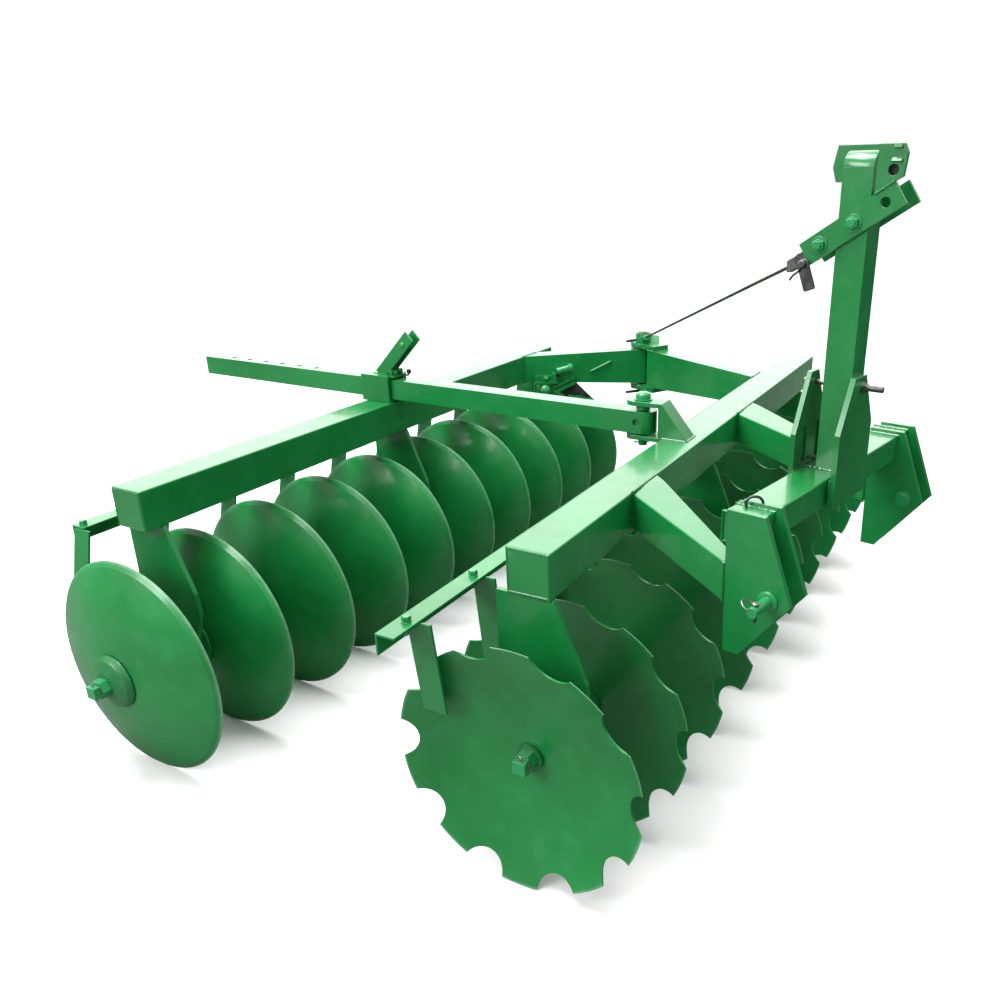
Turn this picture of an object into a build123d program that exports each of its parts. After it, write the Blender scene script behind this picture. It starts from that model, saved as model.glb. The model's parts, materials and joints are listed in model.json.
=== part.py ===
from build123d import *
import math
import os

# Mounted offset disc harrow. Millimetres, +X forward (towards the tractor), +Y left, +Z up.
# Each gang has its own flat frame: x forward, square to the gang's axle, and y along the axle
# from the first, right-hand disc to the left. The ground is at z = 0 in all of them.

# Discs and gangs
DISC_COUNT = 10
DISC_PITCH = 230.0
DISC_R = 280.0
DISC_T = 6.0
DISH_DEPTH = 68.0
DISH_FLAT_R = 46.0
RIM_LAND = 12.0
RIM_EDGE_T = 2.0
NOTCH_COUNT = 10
NOTCH_R = 48.5
NOTCH_CENTRE_R = 292.5

# Axle, spools and end washers
AXLE_SIDE = 30.0
AXLE_FIT = 0.2
SPOOL_R = 26.0
SPOOL_FLANGE_R = 45.0
SPOOL_FLANGE_T = 14.0
BELL_R = 70.0
BELL_T = 12.0
BELL_EASE = 5.0
AXLE_END = 34.0
NUT_R = 24.0
NUT_T = 22.0
DOME_R = 70.0
DOME_H = 26.0
END_WASHER_T = 10.0
FRONT_WASHER_R = 31.0

# Where the gangs stand: the front gang's first disc, the rear gang's first disc and both angles
FRONT_ANGLE = 11.2
REAR_ANGLE = 10.08
REAR_X = -997.5
REAR_Y = -257.5

# Main beams
BEAM_SIDE = 100.0
BEAM_SHIFT = -12.5
FRONT_BEAM_TOP = 725.0
REAR_BEAM_TOP = 720.0
FRONT_BEAM_Y0 = 100.0
REAR_BEAM_Y0 = 60.0
FRONT_BEAM_LENGTH = 2000.0
REAR_BEAM_LENGTH = 1910.0

# Hangers and bearings, the same on both gangs
HANGER_T = 12.0
HANGER_DISCS = (0, 4, 8)
HANGER_Y = 104.0
HANGER_REAR_X = -90.0
HANGER_TOP_X = 40.0
HANGER_KNEE_X = 110.0
HANGER_KNEE_UP = 175.0
HANGER_TOE_X = 116.0
HANGER_TOE_UP = 120.0
HANGER_FOOT_X = 80.0
HANGER_FOOT_UP = 20.0
BEARING_R = 75.0
BEARING_W = 34.0
BEARING_LIP_R = 58.0
BEARING_LIP_W = 5.0
BEARING_BORE_GAP = 0.4
HANGER_BORE_GAP = 3.0

# Scraper bars, an angle iron behind each beam, and one scraper for each disc
BAR_LEG = 46.0
BAR_T = 5.0
BAR_TOP = 602.0
BAR_X = -218.0
BAR_BRACKET_DISCS = (1, 4, 6)
BAR_BRACKET_Y = 150.0
BAR_BRACKET_T = 8.0
BAR_BRACKET_H = 40.0
FRONT_BAR_Y0 = -118.0
REAR_BAR_Y0 = 38.0
BAR_OVERHANG = 60.0
SCRAPER_TOP_W = 56.0
SCRAPER_LOW_W = 58.0
SCRAPER_T = 6.0
SCRAPER_TOP_OUT = 34.0
SCRAPER_TOP_X = -176.0
SCRAPER_LOW_X = -190.0
SCRAPER_LOW_UP = 85.0
SCRAPER_GAP = 7.5

# Hitch cross tube, clevises and lower pins (Category I)
CROSS_X = 282.0
CROSS_W = 80.0
CROSS_H = 60.0
CROSS_TOP = 790.0
HITCH_Y = 715.0
HITCH_SPAN = 683.0
CLEVIS_GAP = 50.0
PLATE_T = 12.0
LOWER_PIN_R = 11.0
LOWER_PIN_X = 352.0
LOWER_PIN_Z = 638.0
PIN_SHANK_R = 14.0
PIN_STUB = 64.0
PIN_TAIL = 8.0
PIN_GAP = 0.3
CLEVIS_TOP = 800.0
CLEVIS_REAR_X = 256.0
CLEVIS_FRONT_X = 335.0
CLEVIS_NOSE_X = 397.0
CLEVIS_NOSE_Z = 636.0
CLEVIS_TOE_X = 296.0
CLEVIS_HEEL_X = 262.0
CLEVIS_TOE_Z = 504.0

# Draft arms from the front beam to the clevises
ARM_ROOT_W = 138.0
ARM_TIP_W = 40.0
ARM_H = 84.0
ARM_DROP = 33.0
ARM_TIP_SHIFT = 16.5
RIGHT_ARM_Y = 549.0
LEFT_ARM_Y = 1287.0

# Mast and what is on it
MAST_SIDE = 60.0
MAST_X = 300.0
MAST_TOP = 1384.0
FOOT_PLATE_T = 12.0
FOOT_TOP = 992.0
FRONT_FOOT = (-11.0, 160.0, 885.0, 54.0)
REAR_FOOT = (-6.0, 144.0, 869.0, 34.0)
FOOT_BOLT_R = 6.0
FOOT_BOLT_Z = 968.0
FOOT_BOLT_BACK = 14.0
FOOT_BOLT_OUT = 45.0
LEVER_W = 46.0
LEVER_T = 8.0
LEVER_REAR = (209.5, MAST_TOP - 159.5)
LEVER_FRONT = (387.5, MAST_TOP - 42.0)
LEVER_BOLTS = (0.171, 0.531)
TOP_HOLE_R = 9.75
TOP_HOLE_SHARE = 0.851
EAR_RISE = 41.0
EAR_CORNER = 8.0
RIGHT_EAR_REAR_X = 338.0
RIGHT_EAR_FRONT_X = 393.0
RIGHT_EAR_LOW = 15.0
SPARE_HOLE_X = 369.0
SPARE_HOLE_LOW = 4.0
LEFT_EAR_REAR_X = 223.0
LEFT_EAR_LOW = 27.0
LINK_LEN = 62.0
LINK_W = 26.0
LEVER_BOLT_R = 8.0
ROD_R = 4.0
ROD_FOOT_UP = 12.0
ROD_KNEE = (0.748, 360.0)
SHACKLE_END = (0.884, 425.0)
SHACKLE_W = 24.0
SHACKLE_T = 12.0
EYE_R = 14.0
EYE_T = 12.0

# Pivot at the left, the two arms that meet there, and the hinge's lugs, barrel and pin
PIVOT_GX = -609.0
PIVOT_GY = 2030.0
PIVOT_PIN_R = 15.0
PIVOT_FIT = 0.3
BARREL_R = 32.0
LUG_T = 18.0
LUG_R = 48.0
LUG_REACH = 110.0
HINGE_GAP = 5.0
ARM_END_BACK = 72.0
PIVOT_ARM_W = 72.0
PIVOT_ARM_LOW = 620.0
PIVOT_ARM_END_LOW = 582.0
FRONT_PIVOT_ARM_Y = 1722.0
REAR_PIVOT_ARM_Y = 1800.0
COLLAR_R = 29.0
COLLAR_H = 34.0
PIN_HEAD_R = 20.0
PIN_HEAD_H = 12.0

# Adjuster: a square tube pinned to the front beam, sliding in a sleeve that swivels on the rear beam
TUBE_SIDE = 60.0
TUBE_WALL = 6.0
TUBE_LOW = 730.0
ADJUST_GX = -128.0
ADJUST_GY = 916.5
SLEEVE_GX = -1030.0
SLEEVE_GY = 955.0
TUBE_SOLID = 36.0
TUBE_EYE_R = 10.0
TUBE_EYE_DEPTH = 8.0
TUBE_EYE_X = 7.0
TUBE_NOSE = 8.0
TUBE_REACH = 1702.0
HOLE_FIRST = 1193.0
HOLE_PITCH = 79.0
HOLE_COUNT = 6
HOLE_R = 9.0
ADJUST_PIN_R = 12.0
ADJUST_PIN_TAIL = 20.0
BRACKET_T = 12.0
BRACKET_W = 60.0
BRACKET_KNEE_X = -64.0
BRACKET_END_X = -143.0
BRACKET_LIFT = 10.0
BRACKET_FOOT_X = 8.0
GUSSET_T = 8.0
GUSSET_BACK_X = -74.0
SLEEVE_LEN = 108.0
SLEEVE_T = 10.0
SLEEVE_SIDE_GAP = 5.0
SLEEVE_TOP_GAP = 3.0
SLEEVE_BASE_T = 7.0
SWIVEL_R = 22.0
SWIVEL_DEPTH = 26.0
SWIVEL_FIT = 0.4
LOCK_LEN = 182.0
LOCK_ANGLE = 45.0
LOCK_FOOT_X = -2.0
LOCK_H = 39.0
LOCK_W = 40.0
LOCK_T = 6.0
LOCK_SINK = 4.0
LOCK_WEB_FROM = 36.0
LOCK_WEB_END = 24.0

# Every disc stands on its rim; the notched ones have a tooth, not a notch, at the bottom.
AXIS_Z_REAR = DISC_R
AXIS_Z_FRONT = DISC_R
GANG_LENGTH = (DISC_COUNT - 1) * DISC_PITCH

FRONT = Location((0, 0, 0), (0, 0, FRONT_ANGLE))
REAR = Location((REAR_X, REAR_Y, 0), (0, 0, REAR_ANGLE))


def point(frame, x, y, z=0.0):
    """A gang frame's point in the whole machine's frame."""
    return (frame * Location((x, y, z))).position


def local(frame, p):
    """A point of the whole machine's frame in a gang's frame."""
    return (frame.inverse() * Location((p.X, p.Y, p.Z))).position


def block(x0, x1, y0, y1, z0, z1):
    """A box from its lower and upper limits."""
    return Pos((x0 + x1) / 2, (y0 + y1) / 2, (z0 + z1) / 2) * Box(x1 - x0, y1 - y0, z1 - z0)


def side_plate(points, y0, y1):
    """A plate of constant thickness from y0 to y1, its outline given as (x, z) points."""
    face = make_face(Polyline(*[(x, y0, z) for x, z in points], close=True))
    return extrude(face, amount=y1 - y0, dir=(0, 1, 0))


def rod(a, b, radius):
    """A round bar between two points."""
    start = Vector(*a)
    run = Vector(*b) - start
    return extrude(Plane(origin=start, z_dir=run) * Circle(radius), amount=run.length)


def upright(x, y, z0, z1, radius):
    """A vertical round bar."""
    return Pos(x, y, (z0 + z1) / 2) * Cylinder(radius, z1 - z0)


def across(x, z, y0, y1, radius):
    """A round bar along y."""
    return Pos(x, (y0 + y1) / 2, z) * Rot(90, 0, 0) * Cylinder(radius, y1 - y0)


def turned(profile, axis_z):
    """A solid turned about the axle's line, its profile given as (radius, y) points."""
    face = make_face(Polyline(*[(r, y, 0) for r, y in profile], close=True))
    return Pos(0, 0, axis_z) * revolve(face, axis=Axis.Y)


def dish(side, axis_z):
    """A disc with its rim at y = 0, its hollow facing -y * side, and a square hole."""
    sphere_r = (DISC_R ** 2 + DISH_DEPTH ** 2) / (2 * DISH_DEPTH)

    def hollow(r):
        return DISH_DEPTH - sphere_r + math.sqrt(sphere_r ** 2 - r ** 2)

    land_r = DISC_R - RIM_LAND
    mid_r = (DISH_FLAT_R + DISC_R) / 2
    back_mid_r = (DISH_FLAT_R + land_r) / 2
    flat_y = hollow(DISH_FLAT_R)
    inner = ThreePointArc((DISH_FLAT_R, flat_y), (mid_r, hollow(mid_r)), (DISC_R, 0))
    back_end = (land_r, hollow(land_r) + DISC_T)
    outer = ThreePointArc((DISH_FLAT_R, flat_y + DISC_T), (back_mid_r, hollow(back_mid_r) + DISC_T), back_end)
    outline = [
        Line((0, flat_y), (DISH_FLAT_R, flat_y)),
        inner,
        Line((DISC_R, 0), (DISC_R, RIM_EDGE_T)),
        Line((DISC_R, RIM_EDGE_T), back_end),
        outer,
        Line((DISH_FLAT_R, flat_y + DISC_T), (0, flat_y + DISC_T)),
        Line((0, flat_y + DISC_T), (0, flat_y)),
    ]
    solid = revolve(make_face(outline), axis=Axis.Y)
    hole = AXLE_SIDE + 2 * AXLE_FIT
    solid -= Box(hole, 4 * DISH_DEPTH, hole)
    if side < 0:
        solid = mirror(solid, about=Plane.XZ)
    return Pos(0, 0, axis_z) * solid


def disc_flat_y():
    """How far a disc's flat centre lies behind its rim, on its hollow side."""
    sphere_r = (DISC_R ** 2 + DISH_DEPTH ** 2) / (2 * DISH_DEPTH)
    return DISH_DEPTH - sphere_r + math.sqrt(sphere_r ** 2 - DISH_FLAT_R ** 2)


def notched(disc, axis_z):
    """The disc with round notches in its rim, two of them either side of the bottom."""
    cuts = []
    for i in range(NOTCH_COUNT):
        a = -math.pi / 2 + (i + 0.5) * 2 * math.pi / NOTCH_COUNT
        x = NOTCH_CENTRE_R * math.cos(a)
        z = axis_z + NOTCH_CENTRE_R * math.sin(a)
        cuts.append(across(x, z, -2 * DISH_DEPTH, 2 * DISH_DEPTH, NOTCH_R))
    return disc - cuts


def spool(y0, y1, axis_z, side):
    """The cast spacer between two discs, its wide bell against the one disc's bulging face."""
    length = y1 - y0
    profile = [
        (0, 0), (SPOOL_FLANGE_R, 0), (BELL_R, BELL_EASE), (BELL_R, BELL_EASE + BELL_T / 2),
        (SPOOL_R, BELL_EASE + 2 * BELL_T), (SPOOL_R, length - SPOOL_FLANGE_T),
        (SPOOL_FLANGE_R, length - SPOOL_FLANGE_T / 2), (SPOOL_FLANGE_R, length), (0, length),
    ]
    if side > 0:
        placed = [(r, y0 + y) for r, y in profile]
    else:
        placed = [(r, y1 - y) for r, y in profile]
    hole = AXLE_SIDE + 2 * AXLE_FIT
    body = turned(placed, axis_z)
    return body - block(-hole / 2, hole / 2, y0 - 1, y1 + 1, axis_z - hole / 2, axis_z + hole / 2)


def gang(side, axis_z):
    """One gang's discs, spools, axle and end pieces, in its own frame."""
    flat = disc_flat_y()
    if side > 0:
        low_face, high_face = flat, flat + DISC_T
    else:
        low_face, high_face = -flat - DISC_T, -flat
    base = dish(side, axis_z)
    if side > 0:
        base = notched(base, axis_z)
    discs = []
    spools = []
    for i in range(DISC_COUNT):
        discs.append(Pos(0, i * DISC_PITCH, 0) * base)
        if i:
            spool_y0 = (i - 1) * DISC_PITCH + high_face
            spool_y1 = i * DISC_PITCH + low_face
            spools.append(spool(spool_y0, spool_y1, axis_z, side))
    right_face = low_face
    left_face = GANG_LENGTH + high_face
    right_t = DOME_H if side < 0 else END_WASHER_T
    y0 = right_face - right_t - NUT_T - AXLE_END / 2
    y1 = left_face + END_WASHER_T + NUT_T + AXLE_END / 2
    half = AXLE_SIDE / 2
    axle = block(-half, half, y0, y1, axis_z - half, axis_z + half)
    hole = half + AXLE_FIT
    bore = block(-hole, hole, y0 - 1, y1 + 1, axis_z - hole, axis_z + hole)
    if side < 0:
        dome = [(0, right_face - DOME_H), (DOME_R * 0.45, right_face - DOME_H),
                (DOME_R * 0.86, right_face - DOME_H * 0.55), (DOME_R, right_face), (0, right_face)]
        right_cap = turned(dome, axis_z) - bore
    else:
        right_cap = across(0, axis_z, right_face - right_t, right_face, FRONT_WASHER_R) - bore
    left_cap = across(0, axis_z, left_face, left_face + END_WASHER_T, SPOOL_FLANGE_R) - bore
    nuts = []
    for n0 in (right_face - right_t - NUT_T, left_face + END_WASHER_T):
        hexagon = Pos(0, n0, axis_z) * Rot(-90, 0, 0) * extrude(RegularPolygon(NUT_R, 6), amount=NUT_T)
        nuts.append(hexagon - bore)
    return discs, spools, axle, [right_cap, left_cap], nuts


def hangers(beam_top, axis_z, side):
    """Plates from the beam down to the bearings, and the bearing housings."""
    low = beam_top - BEAM_SIDE
    plates = []
    housings = []
    for i in HANGER_DISCS:
        y0 = i * DISC_PITCH + HANGER_Y
        y1 = y0 + HANGER_T
        outline = [
            (HANGER_REAR_X, low), (HANGER_TOP_X, low), (HANGER_KNEE_X, axis_z + HANGER_KNEE_UP),
            (HANGER_TOE_X, axis_z + HANGER_TOE_UP), (HANGER_FOOT_X, axis_z + HANGER_FOOT_UP),
            (-HANGER_FOOT_X, axis_z + HANGER_FOOT_UP), (HANGER_REAR_X, axis_z + HANGER_TOE_UP),
        ]
        plate = side_plate(outline, y0, y1)
        plates.append(plate - across(0, axis_z, y0 - 1, y1 + 1, SPOOL_R + HANGER_BORE_GAP))
        seat = y1 if side > 0 else y0
        drum_end = seat + side * BEARING_W
        lip_end = drum_end + side * BEARING_LIP_W
        housing = across(0, axis_z, min(seat, drum_end), max(seat, drum_end), BEARING_R)
        housing += across(0, axis_z, min(drum_end, lip_end), max(drum_end, lip_end), BEARING_LIP_R)
        bore_r = SPOOL_R + BEARING_BORE_GAP
        housings.append(housing - across(0, axis_z, y0 - 2 * BEARING_W, y1 + 2 * BEARING_W, bore_r))
    return plates, housings


def scraper_bar(y0, y1, beam_top):
    """The angle iron that carries the scrapers, and its brackets to the beam's rear face."""
    bar = block(BAR_X, BAR_X + BAR_LEG, y0, y1, BAR_TOP - BAR_T, BAR_TOP)
    bar += block(BAR_X, BAR_X + BAR_T, y0, y1, BAR_TOP - BAR_LEG, BAR_TOP - BAR_T)
    back = BEAM_SHIFT - BEAM_SIDE / 2
    low = beam_top - BEAM_SIDE
    outline = [(BAR_X + BAR_LEG / 2, BAR_TOP), (BAR_X + BAR_LEG, BAR_TOP), (back, low), (back, low + BAR_BRACKET_H)]
    for i in BAR_BRACKET_DISCS:
        bracket_y = i * DISC_PITCH + BAR_BRACKET_Y
        bar += side_plate(outline, bracket_y, bracket_y + BAR_BRACKET_T)
    return bar


def scraper(side, axis_z):
    """One scraper for the disc at y = 0, from the bar down to the disc's hollow face."""
    sphere_r = (DISC_R ** 2 + DISH_DEPTH ** 2) / (2 * DISH_DEPTH)
    low_r = math.hypot(SCRAPER_LOW_X - SCRAPER_LOW_W / 2, SCRAPER_LOW_UP)
    face_y = DISH_DEPTH - sphere_r + math.sqrt(sphere_r ** 2 - low_r ** 2)
    low_y = face_y - SCRAPER_GAP
    top_z = BAR_TOP - BAR_T
    top_x0 = SCRAPER_TOP_X - SCRAPER_TOP_W / 2
    top_x1 = SCRAPER_TOP_X + SCRAPER_TOP_W / 2
    low_x0 = SCRAPER_LOW_X - SCRAPER_LOW_W / 2
    low_x1 = SCRAPER_LOW_X + SCRAPER_LOW_W / 2
    top = [(top_x0, -SCRAPER_TOP_OUT - SCRAPER_T), (top_x1, -SCRAPER_TOP_OUT - SCRAPER_T),
           (top_x1, -SCRAPER_TOP_OUT), (top_x0, -SCRAPER_TOP_OUT)]
    low = [(low_x0, low_y - SCRAPER_T), (low_x1, low_y - SCRAPER_T), (low_x1, low_y), (low_x0, low_y)]
    sections = []
    for z, corners in ((axis_z + SCRAPER_LOW_UP, low), (top_z, top)):
        sections.append(make_face(Polyline(*[(x, y * side, z) for x, y in corners], close=True)))
    return loft(sections)


def clevis(y_mid):
    """Two hitch plates with the cross tube between and through them."""
    outline = [
        (CLEVIS_REAR_X, CLEVIS_TOP), (CLEVIS_FRONT_X, CLEVIS_TOP), (CLEVIS_NOSE_X, CLEVIS_NOSE_Z),
        (CLEVIS_TOE_X, CLEVIS_TOE_Z), (CLEVIS_HEEL_X, CLEVIS_TOE_Z),
    ]
    plates = []
    for y0 in (y_mid - CLEVIS_GAP / 2 - PLATE_T, y_mid + CLEVIS_GAP / 2):
        plate = side_plate(outline, y0, y0 + PLATE_T)
        plate -= across(LOWER_PIN_X, LOWER_PIN_Z, y0 - 1, y0 + PLATE_T + 1, PIN_SHANK_R + PIN_GAP)
        plates.append(plate)
    return plates


def tapered_arm(start, end, width, top, low_start, low_end):
    """A box arm from start to end in plan, level on top, its underside sloping."""
    run = Vector(end.X - start.X, end.Y - start.Y, 0)
    plane = Plane(origin=(start.X, start.Y, 0), x_dir=run, z_dir=(0, 0, 1))
    outline = [(0, top), (run.length, top), (run.length, low_end), (0, low_start)]
    return plane.location * side_plate(outline, -width / 2, width / 2)


def draft_arm(root_y, tip_y):
    """A box arm from the front beam's face to a clevis, narrowing and sloping down to its tip."""
    face_x = BEAM_SHIFT + BEAM_SIDE / 2
    near = point(FRONT, face_x, root_y - ARM_ROOT_W / 2)
    far = point(FRONT, face_x, root_y + ARM_ROOT_W / 2)
    middle = point(FRONT, face_x, root_y)
    corners = [(near.X, near.Y), (CLEVIS_REAR_X, tip_y - ARM_TIP_W / 2),
               (CLEVIS_REAR_X, tip_y + ARM_TIP_W / 2), (far.X, far.Y)]
    plan = extrude(make_face(Polyline(*corners, close=True)), amount=FRONT_BEAM_TOP)
    run = Vector(CLEVIS_REAR_X - middle.X, tip_y - middle.Y, 0)
    ahead = 2 * run.length
    slope = ARM_DROP / run.length
    low = FRONT_BEAM_TOP - ARM_H
    outline = [(0, FRONT_BEAM_TOP), (ahead, FRONT_BEAM_TOP - slope * ahead), (ahead, low - slope * ahead), (0, low)]
    for i in (0, 3):
        outline[i] = (-run.length, outline[i][1] + slope * run.length)
    plane = Plane(origin=(middle.X, middle.Y, 0), x_dir=run, z_dir=(0, 0, 1))
    return plan & (plane.location * side_plate(outline, -run.length, run.length))


nodes = {}

# Gangs
front_discs, front_spools, front_axle, front_caps, front_nuts = gang(1, AXIS_Z_FRONT)
rear_discs, rear_spools, rear_axle, rear_caps, rear_nuts = gang(-1, AXIS_Z_REAR)
gang_parts = (
    ("front", FRONT, front_discs, front_spools, front_axle, front_caps, front_nuts),
    ("rear", REAR, rear_discs, rear_spools, rear_axle, rear_caps, rear_nuts),
)
for name, frame, discs, spools, axle, caps, nuts in gang_parts:
    nodes[name + "_discs"] = [frame * s for s in discs]
    nodes[name + "_spools"] = [frame * s for s in spools]
    nodes[name + "_axle"] = [frame * axle]
    nodes[name + "_end_washers"] = [frame * s for s in caps]
    nodes[name + "_axle_nuts"] = [frame * s for s in nuts]

# Beams, hangers, bearings and scrapers
beam_rows = (
    ("front", FRONT, FRONT_BEAM_TOP, FRONT_BEAM_Y0, FRONT_BEAM_LENGTH, AXIS_Z_FRONT, 1, FRONT_BAR_Y0),
    ("rear", REAR, REAR_BEAM_TOP, REAR_BEAM_Y0, REAR_BEAM_LENGTH, AXIS_Z_REAR, -1, REAR_BAR_Y0),
)
beams = {}
for name, frame, top, y0, length, axis_z, side, bar_y0 in beam_rows:
    half = BEAM_SIDE / 2
    beams[name] = block(BEAM_SHIFT - half, BEAM_SHIFT + half, y0, y0 + length, top - BEAM_SIDE, top)
    plates, housings = hangers(top, axis_z, side)
    nodes[name + "_hangers"] = [frame * s for s in plates]
    nodes[name + "_bearings"] = [frame * s for s in housings]
    nodes[name + "_scraper_bar"] = [frame * scraper_bar(bar_y0, GANG_LENGTH + BAR_OVERHANG, top)]
    one = scraper(side, axis_z)
    nodes[name + "_scrapers"] = [frame * Pos(0, i * DISC_PITCH, 0) * one for i in range(DISC_COUNT)]

# Pivot: where both arms meet, with its height limits
pivot = point(FRONT, PIVOT_GX, PIVOT_GY)
pivot_rear = local(REAR, pivot)
lug_top = FRONT_BEAM_TOP + LUG_T
lug_low = PIVOT_ARM_END_LOW - LUG_T
barrel_top = FRONT_BEAM_TOP - HINGE_GAP
barrel_low = PIVOT_ARM_END_LOW + HINGE_GAP

beam_back = BEAM_SHIFT - BEAM_SIDE / 2
beam_face = BEAM_SHIFT + BEAM_SIDE / 2
front_arm_start = point(FRONT, beam_back, FRONT_PIVOT_ARM_Y)
arm_dir = (pivot - front_arm_start).normalized()
front_arm_end = pivot - arm_dir * ARM_END_BACK
front_low = FRONT_BEAM_TOP - BEAM_SIDE
front_arm = tapered_arm(front_arm_start, front_arm_end, PIVOT_ARM_W, FRONT_BEAM_TOP, front_low, PIVOT_ARM_END_LOW)
root = front_arm_start - arm_dir * PIVOT_ARM_W
root_arm = tapered_arm(root, front_arm_start, PIVOT_ARM_W, FRONT_BEAM_TOP, front_low, front_low)
front_pivot_arm = (front_arm + root_arm) - FRONT * beams["front"]

rear_arm_start = point(REAR, beam_face, REAR_PIVOT_ARM_Y)
rear_arm = tapered_arm(rear_arm_start, pivot, PIVOT_ARM_W, REAR_BEAM_TOP, PIVOT_ARM_LOW, barrel_low)
rear_dir = (pivot - rear_arm_start).normalized()
rear_root = rear_arm_start - rear_dir * PIVOT_ARM_W
rear_arm += tapered_arm(rear_root, rear_arm_start, PIVOT_ARM_W, REAR_BEAM_TOP, PIVOT_ARM_LOW, PIVOT_ARM_LOW)
barrel = upright(pivot.X, pivot.Y, barrel_low, barrel_top, BARREL_R)
bore = upright(pivot.X, pivot.Y, 0, 2 * FRONT_BEAM_TOP, PIVOT_PIN_R + PIVOT_FIT)
past = Location((pivot.X, pivot.Y, 0), (0, 0, math.degrees(math.atan2(rear_dir.Y, rear_dir.X))))
rear_arm -= past * block(0, 2 * PIVOT_ARM_W, -PIVOT_ARM_W, PIVOT_ARM_W, 0, 2 * REAR_BEAM_TOP)
rear_arm -= upright(pivot.X, pivot.Y, 0, 2 * REAR_BEAM_TOP, BARREL_R)
nodes["rear_pivot_arm"] = [rear_arm - REAR * beams["rear"]]
nodes["rear_hinge_barrel"] = [barrel - bore]
nodes["front_pivot_arm"] = [front_pivot_arm]

lugs = []
arm_turn = math.degrees(math.atan2(arm_dir.Y, arm_dir.X))
for z0 in (FRONT_BEAM_TOP, lug_low):
    lug = upright(0, 0, z0, z0 + LUG_T, LUG_R)
    lug += block(-LUG_REACH, 0, -PIVOT_ARM_W / 2, PIVOT_ARM_W / 2, z0, z0 + LUG_T)
    lugs.append(Location((pivot.X, pivot.Y, 0), (0, 0, arm_turn)) * lug - bore)
nodes["front_hinge_lugs"] = lugs
pin = upright(pivot.X, pivot.Y, lug_low - PIN_HEAD_H, lug_top + COLLAR_H, PIVOT_PIN_R)
pin += upright(pivot.X, pivot.Y, lug_top, lug_top + COLLAR_H, COLLAR_R)
nodes["pivot_pin"] = [pin]

# Adjuster tube, its bracket and pin
adjust = point(FRONT, ADJUST_GX, ADJUST_GY)
sleeve_at = point(FRONT, SLEEVE_GX, SLEEVE_GY)
tube_dir = (sleeve_at - adjust).normalized()
tube_turn = math.degrees(math.atan2(tube_dir.Y, tube_dir.X))
TUBE = Location((adjust.X, adjust.Y, 0), (0, 0, tube_turn))
tube_top = TUBE_LOW + TUBE_SIDE
half_tube = TUBE_SIDE / 2
tube = block(-TUBE_NOSE, TUBE_REACH, -half_tube, half_tube, TUBE_LOW, tube_top)
tube += upright(-TUBE_NOSE, 0, TUBE_LOW, tube_top, half_tube)
inner = half_tube - TUBE_WALL
tube -= block(TUBE_SOLID, TUBE_REACH + 1, -inner, inner, TUBE_LOW + TUBE_WALL, tube_top - TUBE_WALL)
tube -= upright(0, 0, TUBE_LOW - 1, tube_top + 1, ADJUST_PIN_R + PIN_GAP)
tube_mid = TUBE_LOW + half_tube
tube -= across(TUBE_EYE_X, tube_mid, half_tube - TUBE_EYE_DEPTH, half_tube + 1, TUBE_EYE_R)
for i in range(HOLE_COUNT):
    tube -= upright(HOLE_FIRST + i * HOLE_PITCH, 0, TUBE_LOW - 1, tube_top + 1, HOLE_R)
nodes["adjuster_tube"] = [TUBE * tube]

plate_gap = HINGE_GAP
upper0 = tube_top + BRACKET_LIFT + plate_gap
lower1 = TUBE_LOW - plate_gap
half_w = BRACKET_W / 2
bracket_y0 = ADJUST_GY - half_w
bracket_y1 = ADJUST_GY + half_w
adjust_bore = upright(ADJUST_GX, ADJUST_GY, 0, 2 * FRONT_BEAM_TOP, ADJUST_PIN_R + PIN_GAP)
upper1 = upper0 + BRACKET_T
strap_outline = [
    (BRACKET_END_X, upper0), (BRACKET_KNEE_X - BRACKET_T / 2, upper0),
    (BRACKET_FOOT_X - 1.5 * BRACKET_T, FRONT_BEAM_TOP), (BRACKET_FOOT_X, FRONT_BEAM_TOP),
    (BRACKET_KNEE_X, upper1), (BRACKET_END_X, upper1),
]
gusset_outline = [
    (GUSSET_BACK_X, FRONT_BEAM_TOP), (BRACKET_FOOT_X - BRACKET_T, FRONT_BEAM_TOP),
    (BRACKET_KNEE_X, upper0 + BRACKET_T / 2), (GUSSET_BACK_X, upper0 + BRACKET_T / 2),
]
bracket = side_plate(strap_outline, bracket_y0, bracket_y1)
bracket += upright(BRACKET_END_X, ADJUST_GY, upper0, upper1, half_w)
for y0 in (bracket_y0, bracket_y1 - GUSSET_T):
    bracket += side_plate(gusset_outline, y0, y0 + GUSSET_T)
lower = block(BRACKET_END_X, beam_back, bracket_y0, bracket_y1, lower1 - BRACKET_T, lower1)
lower += upright(BRACKET_END_X, ADJUST_GY, lower1 - BRACKET_T, lower1, half_w)
nodes["adjuster_bracket"] = [FRONT * (bracket - adjust_bore), FRONT * (lower - adjust_bore)]
adjust_pin = upright(ADJUST_GX, ADJUST_GY, lower1 - BRACKET_T - ADJUST_PIN_TAIL, upper1, ADJUST_PIN_R)
adjust_pin += upright(ADJUST_GX, ADJUST_GY, upper1, upper1 + PIN_HEAD_H, PIN_HEAD_R)
nodes["adjuster_pin"] = [FRONT * adjust_pin]

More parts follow.
